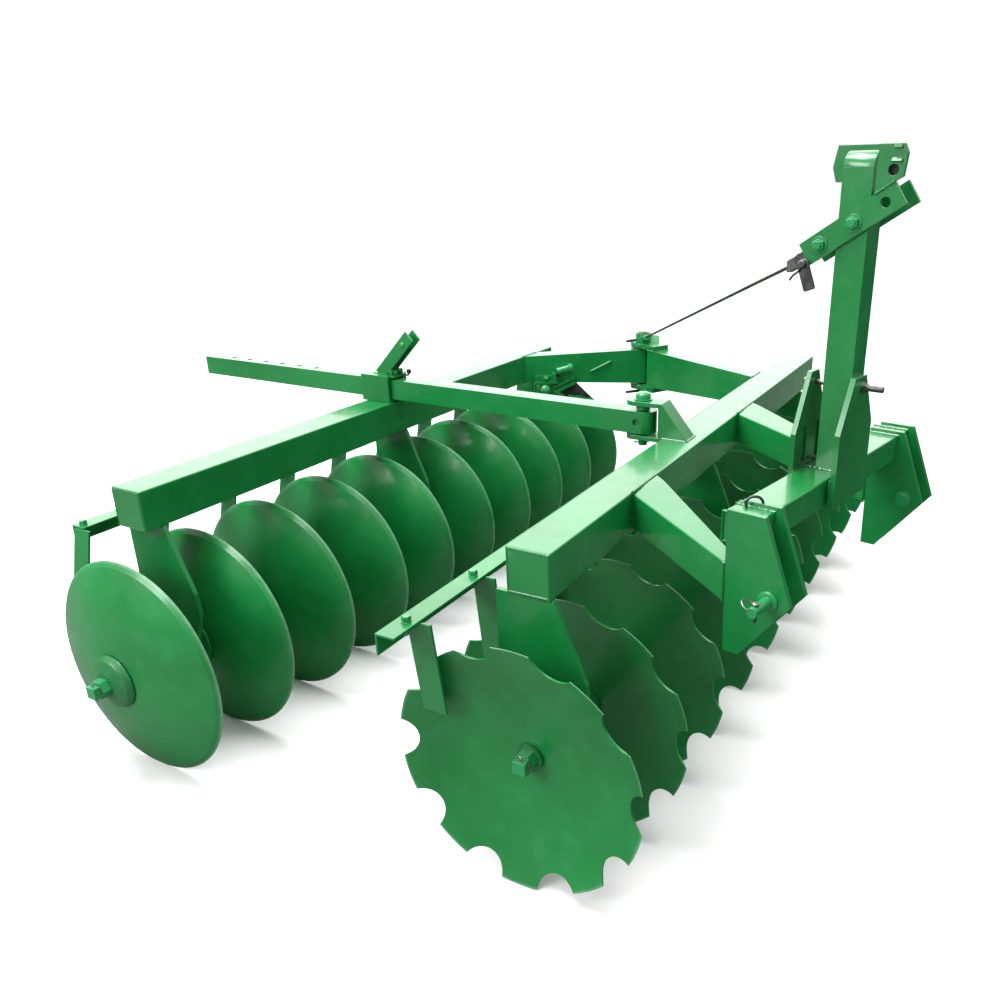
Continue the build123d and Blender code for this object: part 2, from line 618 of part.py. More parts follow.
# Sleeve that swivels on the rear beam, with its lock lever
SLEEVE = Location((sleeve_at.X, sleeve_at.Y, 0), (0, 0, tube_turn))
inner_y = half_tube + SLEEVE_SIDE_GAP
inner_top = tube_top + SLEEVE_TOP_GAP
outer_y = inner_y + SLEEVE_T
half_len = SLEEVE_LEN / 2
base_low = REAR_BEAM_TOP + SWIVEL_FIT
sleeve = block(-half_len, half_len, -outer_y, outer_y, base_low, inner_top + SLEEVE_T)
sleeve -= block(-SLEEVE_LEN, SLEEVE_LEN, -inner_y, inner_y, base_low + SLEEVE_BASE_T, inner_top)
sleeve += upright(0, 0, REAR_BEAM_TOP - SWIVEL_DEPTH, base_low + SLEEVE_BASE_T, SWIVEL_R)
nodes["adjuster_sleeve"] = [SLEEVE * sleeve]
swivel_rear = local(REAR, sleeve_at)
swivel_hole = upright(swivel_rear.X, swivel_rear.Y, REAR_BEAM_TOP - SWIVEL_DEPTH - 2, REAR_BEAM_TOP + 1,
                      SWIVEL_R + SWIVEL_FIT)
lock_foot = inner_top + SLEEVE_T
lock = []
for y0 in (-LOCK_W / 2, LOCK_W / 2 - LOCK_T):
    lever = Rot(0, LOCK_ANGLE - 180, 0) * block(0, LOCK_LEN, y0, y0 + LOCK_T, -LOCK_H / 2, LOCK_H / 2)
    lever = Pos(LOCK_FOOT_X, 0, lock_foot - LOCK_SINK) * lever
    lock.append(lever - block(-2 * LOCK_LEN, 2 * LOCK_LEN, -LOCK_W, LOCK_W, 0, lock_foot))
web_end = LOCK_LEN - LOCK_WEB_END
web_half = LOCK_W / 2 - LOCK_T
web = block(LOCK_WEB_FROM, web_end, -web_half, web_half, -LOCK_H / 2, -LOCK_H / 2 + LOCK_T)
web = Pos(LOCK_FOOT_X, 0, lock_foot - LOCK_SINK) * Rot(0, LOCK_ANGLE - 180, 0) * web
nodes["sleeve_lock_lever"] = [SLEEVE * (lock[0] + lock[1] + web)]

nodes["front_beam"] = [FRONT * beams["front"]]
nodes["rear_beam"] = [REAR * (beams["rear"] - swivel_hole)]

# Hitch: cross tube between the outer plates, through the inner ones
clevis_right = HITCH_Y - HITCH_SPAN / 2
clevis_left = HITCH_Y + HITCH_SPAN / 2
outer_right = clevis_right - CLEVIS_GAP / 2
outer_left = clevis_left + CLEVIS_GAP / 2
cross = block(CROSS_X - CROSS_W / 2, CROSS_X + CROSS_W / 2, outer_right, outer_left, CROSS_TOP - CROSS_H, CROSS_TOP)
nodes["hitch_cross_tube"] = [cross]
for name, y_mid, sign in (("right", clevis_right, -1), ("left", clevis_left, 1)):
    plates = [p - cross for p in clevis(y_mid)]
    nodes[name + "_hitch_clevis"] = plates
    step = y_mid + sign * (CLEVIS_GAP / 2 + PLATE_T)
    near = step + sign * PIN_STUB
    far = y_mid - sign * (CLEVIS_GAP / 2 + PLATE_T + PIN_TAIL)
    lower_pin = across(LOWER_PIN_X, LOWER_PIN_Z, min(step, far), max(step, far), PIN_SHANK_R)
    lower_pin += across(LOWER_PIN_X, LOWER_PIN_Z, min(near, step), max(near, step), LOWER_PIN_R)
    nodes[name + "_lower_pin"] = [lower_pin]

nodes["right_draft_arm"] = [draft_arm(RIGHT_ARM_Y, clevis_right - ARM_TIP_SHIFT)]
nodes["left_draft_arm"] = [draft_arm(LEFT_ARM_Y, clevis_left - ARM_TIP_SHIFT)]

# Mast, foot plates, bolt, head ears, levers and stay rod
half_mast = MAST_SIDE / 2
mast_y0 = HITCH_Y - half_mast
mast_y1 = HITCH_Y + half_mast
mast = block(MAST_X - half_mast, MAST_X + half_mast, mast_y0, mast_y1, CROSS_TOP, MAST_TOP)
mast += rod((MAST_X - half_mast, HITCH_Y, MAST_TOP), (MAST_X + half_mast, HITCH_Y, MAST_TOP), half_mast)
front_plate_x = max(CROSS_X + CROSS_W / 2, MAST_X + half_mast)
rear_plate_x = CROSS_X - CROSS_W / 2 - FOOT_PLATE_T


def foot_plate(x0, shift, base_w, base_z, top_w):
    """A plate square to X on the cross tube, base_w wide up to base_z and top_w at its top."""
    low_z = CROSS_TOP - CROSS_H
    middle = HITCH_Y + shift
    outline = [
        (middle - base_w / 2, low_z), (middle + base_w / 2, low_z),
        (middle + base_w / 2, base_z), (middle + top_w / 2, FOOT_TOP),
        (middle - top_w / 2, FOOT_TOP), (middle - base_w / 2, base_z),
    ]
    face = make_face(Polyline(*[(x0, y, z) for y, z in outline], close=True))
    return extrude(face, amount=FOOT_PLATE_T, dir=(1, 0, 0))


bolt_x0 = rear_plate_x - FOOT_BOLT_BACK
bolt_x1 = front_plate_x + FOOT_BOLT_OUT
bolt_reach = rod((bolt_x0, HITCH_Y, FOOT_BOLT_Z), (bolt_x1, HITCH_Y, FOOT_BOLT_Z), FOOT_BOLT_R)
bolt_room = rod((0, HITCH_Y, FOOT_BOLT_Z), (2 * MAST_X, HITCH_Y, FOOT_BOLT_Z), FOOT_BOLT_R + PIN_GAP)
front_fill = block(CROSS_X + CROSS_W / 2, front_plate_x, mast_y0, mast_y1, CROSS_TOP - CROSS_H, CROSS_TOP)
nodes["mast_front_plate"] = [foot_plate(front_plate_x, *FRONT_FOOT) + front_fill - bolt_room]
nodes["mast_rear_plate"] = [foot_plate(rear_plate_x, *REAR_FOOT) - bolt_room]
nodes["mast_foot_bolt"] = [bolt_reach]

lever_run = Vector(LEVER_FRONT[0] - LEVER_REAR[0], 0, LEVER_FRONT[1] - LEVER_REAR[1])
lever_tilt = -math.degrees(math.atan2(lever_run.Z, lever_run.X))
LEVER = Location((LEVER_REAR[0], HITCH_Y, LEVER_REAR[1])) * Location((0, 0, 0), (0, lever_tilt, 0))
bolts = []
bars = []
holes = []
for share in LEVER_BOLTS:
    x = share * lever_run.length
    reach = half_mast + LEVER_T + 14
    bolts.append(LEVER * across(x, 0, -reach, reach, LEVER_BOLT_R))
    holes.append(LEVER * across(x, 0, -2 * reach, 2 * reach, LEVER_BOLT_R + PIN_GAP))
top_hole_at = (LEVER * Location((TOP_HOLE_SHARE * lever_run.length, 0, 0))).position
top_hole = LEVER * across(TOP_HOLE_SHARE * lever_run.length, 0, -2 * reach, 2 * reach, TOP_HOLE_R)
for y0 in (-half_mast - LEVER_T, half_mast):
    bar = LEVER * block(0, lever_run.length, y0, y0 + LEVER_T, -LEVER_W / 2, LEVER_W / 2)
    bars.append(bar - holes - top_hole)
nodes["mast_lever_bars"] = bars
nodes["mast_lever_bolts"] = bolts

# Right ear, on the right bar's top edge in front of the mast; left ear, on the mast's left side behind
ear_top = MAST_TOP + EAR_RISE
bar_slope = lever_run.Z / lever_run.X
bar_corner = LEVER * Location((lever_run.length, 0, LEVER_W / 2))
bar_end_x = bar_corner.position.X
bar_end_z = bar_corner.position.Z
rear_foot_z = bar_end_z - (bar_end_x - RIGHT_EAR_REAR_X) * bar_slope
right_outline = [
    (RIGHT_EAR_REAR_X, rear_foot_z), (bar_end_x, bar_end_z), (RIGHT_EAR_FRONT_X - EAR_CORNER / 2, MAST_TOP - RIGHT_EAR_LOW),
    (RIGHT_EAR_FRONT_X, ear_top - 2 * EAR_CORNER), (RIGHT_EAR_FRONT_X - EAR_CORNER, ear_top),
    (RIGHT_EAR_REAR_X, ear_top),
]
right_ear = side_plate(right_outline, mast_y0 - LEVER_T, mast_y0)
right_ear -= across(SPARE_HOLE_X, MAST_TOP - SPARE_HOLE_LOW, 0, 2 * HITCH_Y, TOP_HOLE_R)
left_outline = [
    (LEFT_EAR_REAR_X + EAR_CORNER, MAST_TOP - LEFT_EAR_LOW), (MAST_X + half_mast, MAST_TOP - LEFT_EAR_LOW),
    (MAST_X + half_mast, ear_top), (LEFT_EAR_REAR_X + EAR_CORNER, ear_top), (LEFT_EAR_REAR_X, MAST_TOP),
]
left_ear = side_plate(left_outline, mast_y1, mast_y1 + LEVER_T)
nodes["top_link_ears"] = [right_ear, left_ear]
nodes["mast"] = [mast - bolt_room - holes]

eye_x = LEVER_REAR[0] + LEVER_BOLTS[0] * lever_run.X
eye_z = LEVER_REAR[1] + LEVER_BOLTS[0] * lever_run.Z
link = across(0, 0, -EYE_T / 2, EYE_T / 2, EYE_R) + across(-LINK_LEN, 0, -EYE_T / 2, EYE_T / 2, EYE_R)
link += block(-LINK_LEN, 0, -EYE_T / 2, EYE_T / 2, -LINK_W / 2, LINK_W / 2)
link = Location((eye_x, HITCH_Y, eye_z)) * Location((0, 0, 0), (0, lever_tilt, 0)) * link
link_end = Vector(eye_x, HITCH_Y, eye_z) - lever_run.normalized() * LINK_LEN
stay_low = Vector(pivot.X, pivot.Y, lug_top + ROD_FOOT_UP)
stay_run = Vector(eye_x - stay_low.X, HITCH_Y - stay_low.Y, 0)
knee = stay_low + stay_run * ROD_KNEE[0] + Vector(0, 0, ROD_KNEE[1])
shackle_end = stay_low + stay_run * SHACKLE_END[0] + Vector(0, 0, SHACKLE_END[1])
stay = rod(stay_low, knee, ROD_R) + Location(knee) * Sphere(ROD_R) + rod(knee, shackle_end, ROD_R)
shackle_run = shackle_end - link_end
across_run = Vector(-shackle_run.Y, shackle_run.X, 0)
shackle_plane = Plane(origin=link_end, x_dir=across_run, z_dir=shackle_run)
shackle = extrude(shackle_plane * Rectangle(SHACKLE_T, SHACKLE_W), amount=shackle_run.length)
nodes["stay_rod"] = [(stay + shackle + link) - holes[0] - pin]

# Footprint centred on the origin
everything = [s for solids in nodes.values() for s in solids]
boxes = [s.bounding_box() for s in everything]
x_mid = (min(b.min.X for b in boxes) + max(b.max.X for b in boxes)) / 2
y_mid = (min(b.min.Y for b in boxes) + max(b.max.Y for b in boxes)) / 2
SHIFT = Pos(-x_mid, -y_mid, 0)

os.makedirs("parts", exist_ok=True)
for name, solids in nodes.items():
    moved = [SHIFT * s for s in solids]
    shape = moved[0] if len(moved) == 1 else Compound(children=moved)
    export_step(shape, "parts/" + name + ".step")
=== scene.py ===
import bmesh
import bpy
import json
import math
from mathutils import Matrix, Vector


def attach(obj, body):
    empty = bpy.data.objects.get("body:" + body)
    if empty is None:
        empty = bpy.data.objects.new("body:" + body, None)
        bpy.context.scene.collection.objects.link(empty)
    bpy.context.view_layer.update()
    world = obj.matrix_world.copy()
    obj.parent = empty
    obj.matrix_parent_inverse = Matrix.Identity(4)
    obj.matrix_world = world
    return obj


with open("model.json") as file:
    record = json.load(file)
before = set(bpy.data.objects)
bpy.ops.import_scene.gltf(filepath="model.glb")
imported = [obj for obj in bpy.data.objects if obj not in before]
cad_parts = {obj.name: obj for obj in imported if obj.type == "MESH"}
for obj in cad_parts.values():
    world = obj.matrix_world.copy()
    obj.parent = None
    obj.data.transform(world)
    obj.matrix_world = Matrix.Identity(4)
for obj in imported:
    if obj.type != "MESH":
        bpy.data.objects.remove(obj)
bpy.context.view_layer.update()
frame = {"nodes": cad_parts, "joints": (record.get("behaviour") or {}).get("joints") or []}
nodes = frame["nodes"]
joints = {j["name"]: j for j in frame["joints"]}

# Camera: its place from the front gang's first disc, and how it looks at the harrow
CAMERA_FROM_DISC = Vector((1.0245, -1.0680, 1.4083))
CAMERA_AZIMUTH = 40.39
CAMERA_ELEVATION = 22.04
CAMERA_ROLL = -1.28
LENS_MM = 32.5
SHIFT_X = -0.0529
SHIFT_Y = 0.0261

# Discs, beams, bars and hangers, as the frame has them, in metres
DISC_COUNT = 10
DISC_PITCH = 0.230
AXLE_Z = 0.280
DISC_R = 0.280
BEAM_BACK = -0.0625
BEAM_FACE = 0.0375
BEAM_H = 0.100
BAR_TOP = 0.602
BAR_T = 0.005
HANGER_DISCS = (0, 4, 8)
HANGER_Y = 0.104
HANGER_T = 0.012
BEARING_W = 0.034
BEARING_R = 0.075


def gang_frame(joint):
    """A gang's own frame: its origin on the ground under the first disc, y along the axle."""
    x, y, _ = joints[joint]["pos_m"]
    axis = Vector(joints[joint]["axis"])
    side = axis.cross(Vector((0, 0, 1)))
    turn = Matrix((side, axis, Vector((0, 0, 1)))).transposed()
    return Matrix.Translation((x, y, 0)) @ turn.to_4x4()


FRONT = gang_frame("front_gang_roll")
REAR = gang_frame("rear_gang_roll")
ORIGIN = Matrix.Translation(FRONT.translation)


# Materials

def ramp(tree, source, low, high, dark, light):
    """Two colours blended as source runs from low to high."""
    node = tree.nodes.new("ShaderNodeValToRGB")
    node.color_ramp.elements[0].position = low
    node.color_ramp.elements[0].color = (*dark, 1)
    node.color_ramp.elements[1].position = high
    node.color_ramp.elements[1].color = (*light, 1)
    tree.links.new(source, node.inputs["Fac"])
    return node.outputs["Color"]


def noise(tree, scale, detail, rough=0.5):
    """A noise over the object's own coordinates, in waves per metre."""
    coords = tree.nodes.new("ShaderNodeTexCoord")
    node = tree.nodes.new("ShaderNodeTexNoise")
    node.inputs["Scale"].default_value = scale
    node.inputs["Detail"].default_value = detail
    node.inputs["Roughness"].default_value = rough
    tree.links.new(coords.outputs["Object"], node.inputs["Vector"])
    return node.outputs["Fac"]


def mix(tree, factor, a, b):
    """Colour a, and colour b where factor is 1."""
    node = tree.nodes.new("ShaderNodeMix")
    node.data_type = "RGBA"
    tree.links.new(factor, node.inputs["Factor"])
    for socket, value in ((node.inputs[6], a), (node.inputs[7], b)):
        if isinstance(value, tuple):
            socket.default_value = (*value, 1)
        else:
            tree.links.new(value, socket)
    return node.outputs[2]


def bump(tree, height, strength, distance, below=None):
    """A bump from a height field, over another bump."""
    node = tree.nodes.new("ShaderNodeBump")
    node.inputs["Strength"].default_value = strength
    node.inputs["Distance"].default_value = distance
    tree.links.new(height, node.inputs["Height"])
    if below:
        tree.links.new(below, node.inputs["Normal"])
    return node.outputs["Normal"]


def spread(tree, source, low, high):
    """A factor remapped to run from low to high."""
    node = tree.nodes.new("ShaderNodeMapRange")
    node.inputs["From Min"].default_value = 0.3
    node.inputs["From Max"].default_value = 0.7
    node.inputs["To Min"].default_value = low
    node.inputs["To Max"].default_value = high
    tree.links.new(source, node.inputs["Value"])
    return node.outputs["Result"]


def new_material(name):
    """An empty node material and its shader."""
    material = bpy.data.materials.new(name)
    material.use_nodes = True
    return material, material.node_tree, material.node_tree.nodes["Principled BSDF"]


def enamel(name, dark, light, rough, coat, peel, cast=0.0):
    """Sprayed green enamel: a slow drift of colour, dust, orange peel, and a casting's grain if cast."""
    material, tree, shader = new_material(name)
    drift = ramp(tree, noise(tree, 3.0, 3), 0.35, 0.68, dark, light)
    dust = noise(tree, 30.0, 3, 0.55)
    dusted = mix(tree, ramp(tree, dust, 0.50, 0.80, (0, 0, 0), (0.16, 0.16, 0.16)), drift, DUST)
    tree.links.new(dusted, shader.inputs["Base Color"])
    tree.links.new(spread(tree, noise(tree, 21.0, 4), rough - 0.05, rough + 0.07), shader.inputs["Roughness"])
    shader.inputs["Coat Weight"].default_value = coat
    shader.inputs["Coat Roughness"].default_value = 0.10
    below = None
    if cast:
        below = bump(tree, noise(tree, 240.0, 4, 0.7), cast, 0.0012)
    waves = bump(tree, noise(tree, 9.0, 2), 0.10, 0.004, below)
    tree.links.new(bump(tree, noise(tree, 320.0, 2), peel, 0.0004, waves), shader.inputs["Normal"])
    return material


def disc_enamel(name, joint, dark, light):
    """Thin enamel over a pressed disc: rings left by its rolling, and a pale rim that is a painted highlight
    along its edge.
    """
    material, tree, shader = new_material(name)
    x, y, z = joints[joint]["pos_m"]
    axis = Vector(joints[joint]["axis"])
    coords = tree.nodes.new("ShaderNodeTexCoord")
    away = tree.nodes.new("ShaderNodeVectorMath")
    away.operation = "SUBTRACT"
    away.inputs[1].default_value = (x, y, z)
    tree.links.new(coords.outputs["Object"], away.inputs[0])
    square = tree.nodes.new("ShaderNodeVectorMath")
    square.operation = "CROSS_PRODUCT"
    square.inputs[1].default_value = axis
    tree.links.new(away.outputs["Vector"], square.inputs[0])
    radius = tree.nodes.new("ShaderNodeVectorMath")
    radius.operation = "LENGTH"
    tree.links.new(square.outputs["Vector"], radius.inputs[0])
    wobble = tree.nodes.new("ShaderNodeMath")
    wobble.operation = "MULTIPLY_ADD"
    wobble.inputs[1].default_value = 0.006
    tree.links.new(noise(tree, 60.0, 3), wobble.inputs[0])
    tree.links.new(radius.outputs["Value"], wobble.inputs[2])
    drift = ramp(tree, noise(tree, 4.0, 3), 0.35, 0.68, dark, light)
    # Painted highlight: a pale band mixed in at the disc's rim
    rim_highlight = ramp(tree, wobble.outputs["Value"], DISC_R - 0.0005, DISC_R + 0.0035, (0, 0, 0), RIM_HIGHLIGHT_SHARE)
    dust = noise(tree, 26.0, 3, 0.55)
    dusted = mix(tree, ramp(tree, dust, 0.50, 0.80, (0, 0, 0), (0.18, 0.18, 0.18)), drift, DUST)
    tree.links.new(mix(tree, rim_highlight, dusted, RIM_HIGHLIGHT), shader.inputs["Base Color"])
    tree.links.new(spread(tree, noise(tree, 18.0, 4), 0.27, 0.42), shader.inputs["Roughness"])
    shader.inputs["Coat Weight"].default_value = 0.35
    shader.inputs["Coat Roughness"].default_value = 0.14
    rings = tree.nodes.new("ShaderNodeMath")
    rings.operation = "MULTIPLY"
    rings.inputs[1].default_value = 900.0
    tree.links.new(radius.outputs["Value"], rings.inputs[0])
    wave = tree.nodes.new("ShaderNodeMath")
    wave.operation = "SINE"
    tree.links.new(rings.outputs["Value"], wave.inputs[0])
    below = bump(tree, wave.outputs["Value"], 0.05, 0.0003)
    tree.links.new(bump(tree, noise(tree, 11.0, 3), 0.14, 0.005, below), shader.inputs["Normal"])
    return material


def bare_metal(name, dark, light, rough, metallic, grain):
    """Steel with a drawn or plated skin and a little staining."""
    material, tree, shader = new_material(name)
    stain = ramp(tree, noise(tree, 35.0, 5, 0.6), 0.35, 0.7, dark, light)
    tree.links.new(stain, shader.inputs["Base Color"])
    shader.inputs["Metallic"].default_value = metallic
    tree.links.new(spread(tree, noise(tree, 90.0, 4), rough - 0.08, rough + 0.12), shader.inputs["Roughness"])
    tree.links.new(bump(tree, noise(tree, 420.0, 3), grain, 0.0003), shader.inputs["Normal"])
    return material


def rubber_skin(name):
    """Dull black rubber with a pitted skin and grey dust."""
    material, tree, shader = new_material(name)
    dust = ramp(tree, noise(tree, 60.0, 5, 0.65), 0.45, 0.8, (0.006, 0.007, 0.006), (0.05, 0.055, 0.05))
    tree.links.new(dust, shader.inputs["Base Color"])
    shader.inputs["Roughness"].default_value = 0.7
    tree.links.new(bump(tree, noise(tree, 260.0, 3), 0.3, 0.0005), shader.inputs["Normal"])
    return material


DUST = (0.06, 0.33, 0.13)
# Pale green of the painted highlight on the disc rims, and how much of it shows
RIM_HIGHLIGHT = (0.22, 0.42, 0.28)
RIM_HIGHLIGHT_SHARE = (0.75, 0.75, 0.75)
DISC_DARK = (0.0040, 0.165, 0.030)
DISC_LIGHT = (0.0080, 0.235, 0.050)
paint = enamel("frame_enamel", (0.0040, 0.175, 0.034), (0.0080, 0.240, 0.054), 0.28, 0.55, 0.10)
plate_paint = enamel("plate_enamel", (0.0040, 0.165, 0.032), (0.0080, 0.232, 0.052), 0.31, 0.45, 0.12)
weld_paint = enamel("weld_enamel", (0.0035, 0.140, 0.028), (0.0070, 0.195, 0.044), 0.28, 0.60, 0.16, 0.15)
cast_paint = enamel("casting_enamel", (0.0035, 0.125, 0.025), (0.0070, 0.185, 0.042), 0.40, 0.30, 0.10, 0.50)
pin_paint = enamel("pin_enamel", (0.0090, 0.215, 0.055), (0.0180, 0.300, 0.092), 0.30, 0.50, 0.10)
front_disc_paint = disc_enamel("front_disc_enamel", "front_gang_roll", DISC_DARK, DISC_LIGHT)
rear_disc_paint = disc_enamel("rear_disc_enamel", "rear_gang_roll", DISC_DARK, DISC_LIGHT)
steel = bare_metal("plated_steel", (0.30, 0.30, 0.28), (0.52, 0.52, 0.50), 0.36, 1.0, 0.20)
dark_steel = bare_metal("drawn_steel", (0.050, 0.055, 0.052), (0.14, 0.145, 0.14), 0.42, 0.85, 0.25)
wire_steel = bare_metal("wire_steel", (0.030, 0.034, 0.032), (0.085, 0.09, 0.085), 0.40, 0.85, 0.15)
rubber = rubber_skin("flap_rubber")

# Each CAD node's material and the width of its rounded edges in millimetres
NODE_LOOKS = (
    (paint, 4.0, ("front_beam", "rear_beam", "adjuster_tube", "hitch_cross_tube", "front_pivot_arm",
                  "rear_pivot_arm", "left_draft_arm", "right_draft_arm", "mast")),
    (plate_paint, 1.2, ("front_hangers", "rear_hangers", "front_scraper_bar", "rear_scraper_bar",
                        "front_hinge_lugs", "adjuster_bracket", "adjuster_sleeve", "left_hitch_clevis",
                        "right_hitch_clevis", "mast_front_plate", "mast_rear_plate", "mast_lever_bars",
                        "top_link_ears", "sleeve_lock_lever")),
    (plate_paint, 0.8, ("front_scrapers", "rear_scrapers")),
    (cast_paint, 2.0, ("front_bearings", "rear_bearings", "rear_hinge_barrel", "front_end_washers",
                       "rear_end_washers")),
    (cast_paint, 0.0, ("front_spools", "rear_spools")),
    (pin_paint, 1.2, ("front_axle", "rear_axle", "front_axle_nuts", "rear_axle_nuts", "adjuster_pin",
                      "pivot_pin", "left_lower_pin", "right_lower_pin", "mast_lever_bolts")),
    (front_disc_paint, 0.0, ("front_discs",)),
    (rear_disc_paint, 0.0, ("rear_discs",)),
    (dark_steel, 0.0, ("stay_rod",)),
    (steel, 0.8, ("mast_foot_bolt",)),
)
WELD_REACH = 0.00002
FLAT_ANGLE = 0.5
for material, edge, names in NODE_LOOKS:
    for name in names:
        node = nodes[name]
        node.data.materials.clear()
        node.data.materials.append(material)
        if edge:
            weld = node.modifiers.new("weld", "WELD")
            weld.merge_threshold = WELD_REACH
            flat = node.modifiers.new("flat", "DECIMATE")
            flat.decimate_type = "DISSOLVE"
            flat.angle_limit = math.radians(FLAT_ANGLE)
            bevel = node.modifiers.new("edge", "BEVEL")
            bevel.width = edge / 1000
            bevel.segments = 3 if edge > 2 else 2
            bevel.limit_method = "ANGLE"
            bevel.angle_limit = math.radians(32)
            bevel.harden_normals = True


# Mesh helpers

def facing(at, towards, along=(0, 0, 1)):
    """A frame at a point whose z axis points towards a direction, and x is as near along as it can be."""
    z = Vector(towards).normalized()
    x = Vector(along) - z * z.dot(Vector(along))
    if x.length < 0.001:
        x = Vector((1, 0, 0)) - z * z.x
    x.normalize()
    turn = Matrix((x, z.cross(x), z)).transposed()
    return Matrix.Translation(at) @ turn.to_4x4()


def ring(bm, place, radius, height, sides, spin=0.0):
    """One ring of vertices square to the frame's z axis."""
    made = []
    for i in range(sides):
        a = spin + 2 * math.pi * i / sides
        made.append(bm.verts.new(place @ Vector((radius * math.cos(a), radius * math.sin(a), height))))
    return made


def skin(bm, rings, closed=False):
    """Faces between rings of the same number of vertices, with caps on the ends unless closed."""
    pairs = list(zip(rings, rings[1:]))
    if closed:
        pairs.append((rings[-1], rings[0]))
    for low, high in pairs:
        for i in range(len(low)):
            j = (i + 1) % len(low)
            bm.faces.new((low[i], low[j], high[j], high[i]))
    if not closed:
        bm.faces.new(list(reversed(rings[0])))
        bm.faces.new(rings[-1])


def lathe(bm, place, profile, sides=20):
    """A solid turned about the frame's z axis from (radius, height) points."""
    skin(bm, [ring(bm, place, r, h, sides) for r, h in profile])


def hexagon(bm, place, across, height, at=0.0):
    """A hexagonal head or nut with chamfered corners, across its flats, standing on the frame's plane."""
    r = across / math.sqrt(3)
    flat = across / 2
    rows = ((r * 0.97, at), (r, at + 0.06 * height), (r, at + 0.80 * height), (flat * 0.98, at + height))
    skin(bm, [ring(bm, place, radius, h, 6) for radius, h in rows])


def bolt(bm, place, across, tail=0.0, washer=True):
    """A washer and a hexagonal head, or a nut with the bolt's end through it if there is a tail."""
    base = 0.0
    if washer:
        base = 0.09 * across
        r = across * 0.62
        lathe(bm, place, ((r * 0.97, 0), (r, base * 0.3), (r, base * 0.8), (r * 0.96, base)), 20)
    height = (0.80 if tail else 0.64) * across
    hexagon(bm, place, across, height, base)
    if tail:
        r = across * 0.31
        top = base + height + tail
        lathe(bm, place, ((r, base + height * 0.9), (r, top - 0.2 * r), (r * 0.75, top)), 12)


def smooth_path(points, steps):
    """A Catmull-Rom curve through the points."""
    points = [Vector(p) for p in points]
    count = len(points)
    made = []
    for i in range(count - 1):
        a, b, c, d = points[max(i - 1, 0)], points[i], points[i + 1], points[min(i + 2, count - 1)]
        for s in range(steps):
            t = s / steps
            made.append(0.5 * (2 * b + (c - a) * t + (2 * a - 5 * b + 4 * c - d) * t * t
                               + (3 * b - a - 3 * c + d) * t * t * t))
    made.append(points[-1])
    return made


def tube(bm, path, radius, sides=8, closed=False):
    """A round bar along a path. radius is a number, or a function of the step along the path."""
    rings = []
    normal = None
    count = len(path)
    for i, p in enumerate(path):
        if closed:
            run = path[(i + 1) % count] - path[i - 1]
        else:
            run = path[min(i + 1, count - 1)] - path[max(i - 1, 0)]
        run.normalize()
        if normal is None:
            normal = run.orthogonal().normalized()
        normal = (normal - run * normal.dot(run)).normalized()
        side = run.cross(normal)
        r = radius(i) if callable(radius) else radius
        row = []
        for k in range(sides):
            a = 2 * math.pi * k / sides
            row.append(bm.verts.new(p + normal * (r * math.cos(a)) + side * (r * math.sin(a))))
        rings.append(row)
    skin(bm, rings, closed)


def weld_bead(bm, corners, closed=False, size=0.0036):
    """A rippled weld along straight runs between corners."""
    corners = [Vector(c) for c in corners]
    if closed:
        corners = corners + [corners[0]]
    path = []
    for a, b in zip(corners, corners[1:]):
        steps = max(2, int((b - a).length / 0.0030))
        path += [a.lerp(b, i / steps) for i in range(steps)]
    if not closed:
        path.append(corners[-1])

    def size_at(i):
        return size * (1.0 + 0.16 * math.sin(i * 1.7) + 0.10 * math.sin(i * 0.53 + 1.0))

    tube(bm, path, size_at, 6, closed)


def plate(bm, place, outline, thick, edge=0.0012):
    """A flat plate on the frame's plane with eased edges, from (x, y) points given anticlockwise."""
    middle = Vector((sum(x for x, y in outline), sum(y for x, y in outline), 0)) / len(outline)
    rows = []
    for inset, z in ((edge, 0), (0, edge), (0, thick - edge), (edge, thick)):
        row = []
        for x, y in outline:
            p = Vector((x, y, 0))
            row.append(bm.verts.new(place @ (p - (p - middle).normalized() * inset + Vector((0, 0, z)))))
        rows.append(row)
    skin(bm, rows)


def box_piece(bm, place, x0, x1, y0, y1, z0, z1, edge=0.0012):
    """A bar with eased edges in the frame's axes."""
    low = place @ Matrix.Translation((0, 0, z0))
    plate(bm, low, ((x0, y0), (x1, y0), (x1, y1), (x0, y1)), z1 - z0, edge)


def lynch_pin(bm, place, length, radius, loop):
    """A pin with a head through a hole along the frame's z axis, and the sprung ring that holds it."""
    lathe(bm, place, ((radius * 0.6, -length), (radius, -length + radius), (radius, 0),
                      (radius * 1.5, 0.0004), (radius * 1.5, radius), (radius * 0.9, radius * 1.6)), 14)
    path = []
    for i in range(15):
        a = math.radians(-150 + 300 * i / 14)
        drop = -0.5 * length * (1 - math.cos(a)) / 2
        path.append(place @ Vector((loop * math.cos(a) + loop * 0.9, loop * math.sin(a), radius + drop)))
    tube(bm, path, radius * 0.36, 8)


def split_pin(bm, place, length, radius):
    """A split pin across a bolt: its eye and its two bent legs."""
    eye = [place @ Vector((0, 1.6 * radius * math.sin(a), 1.6 * radius * math.cos(a) + 2.2 * radius))
           for a in (math.radians(d) for d in range(-140, 141, 28))]
    tube(bm, eye, radius * 0.5, 6)
    for sign in (-1, 1):
        bends = ((0.5, 1.2 * radius), (0.5, -length), (1.6, -length - radius), (4.0, -length - 1.6 * radius))
        leg = [place @ Vector((0, wide * sign * radius, height)) for wide, height in bends]
        tube(bm, smooth_path(leg, 4), radius * 0.5, 6)


def grease_nipple(bm, place, size=0.0045):
    """A small ball-headed grease nipple on its hexagonal foot."""
    hexagon(bm, place, size * 2, size * 0.8)
    lathe(bm, place, ((size * 0.7, size * 0.8), (size * 0.7, size * 1.5), (size * 0.45, size * 1.8),
                      (size * 0.62, size * 2.2), (size * 0.5, size * 2.7), (size * 0.2, size * 2.85)), 12)


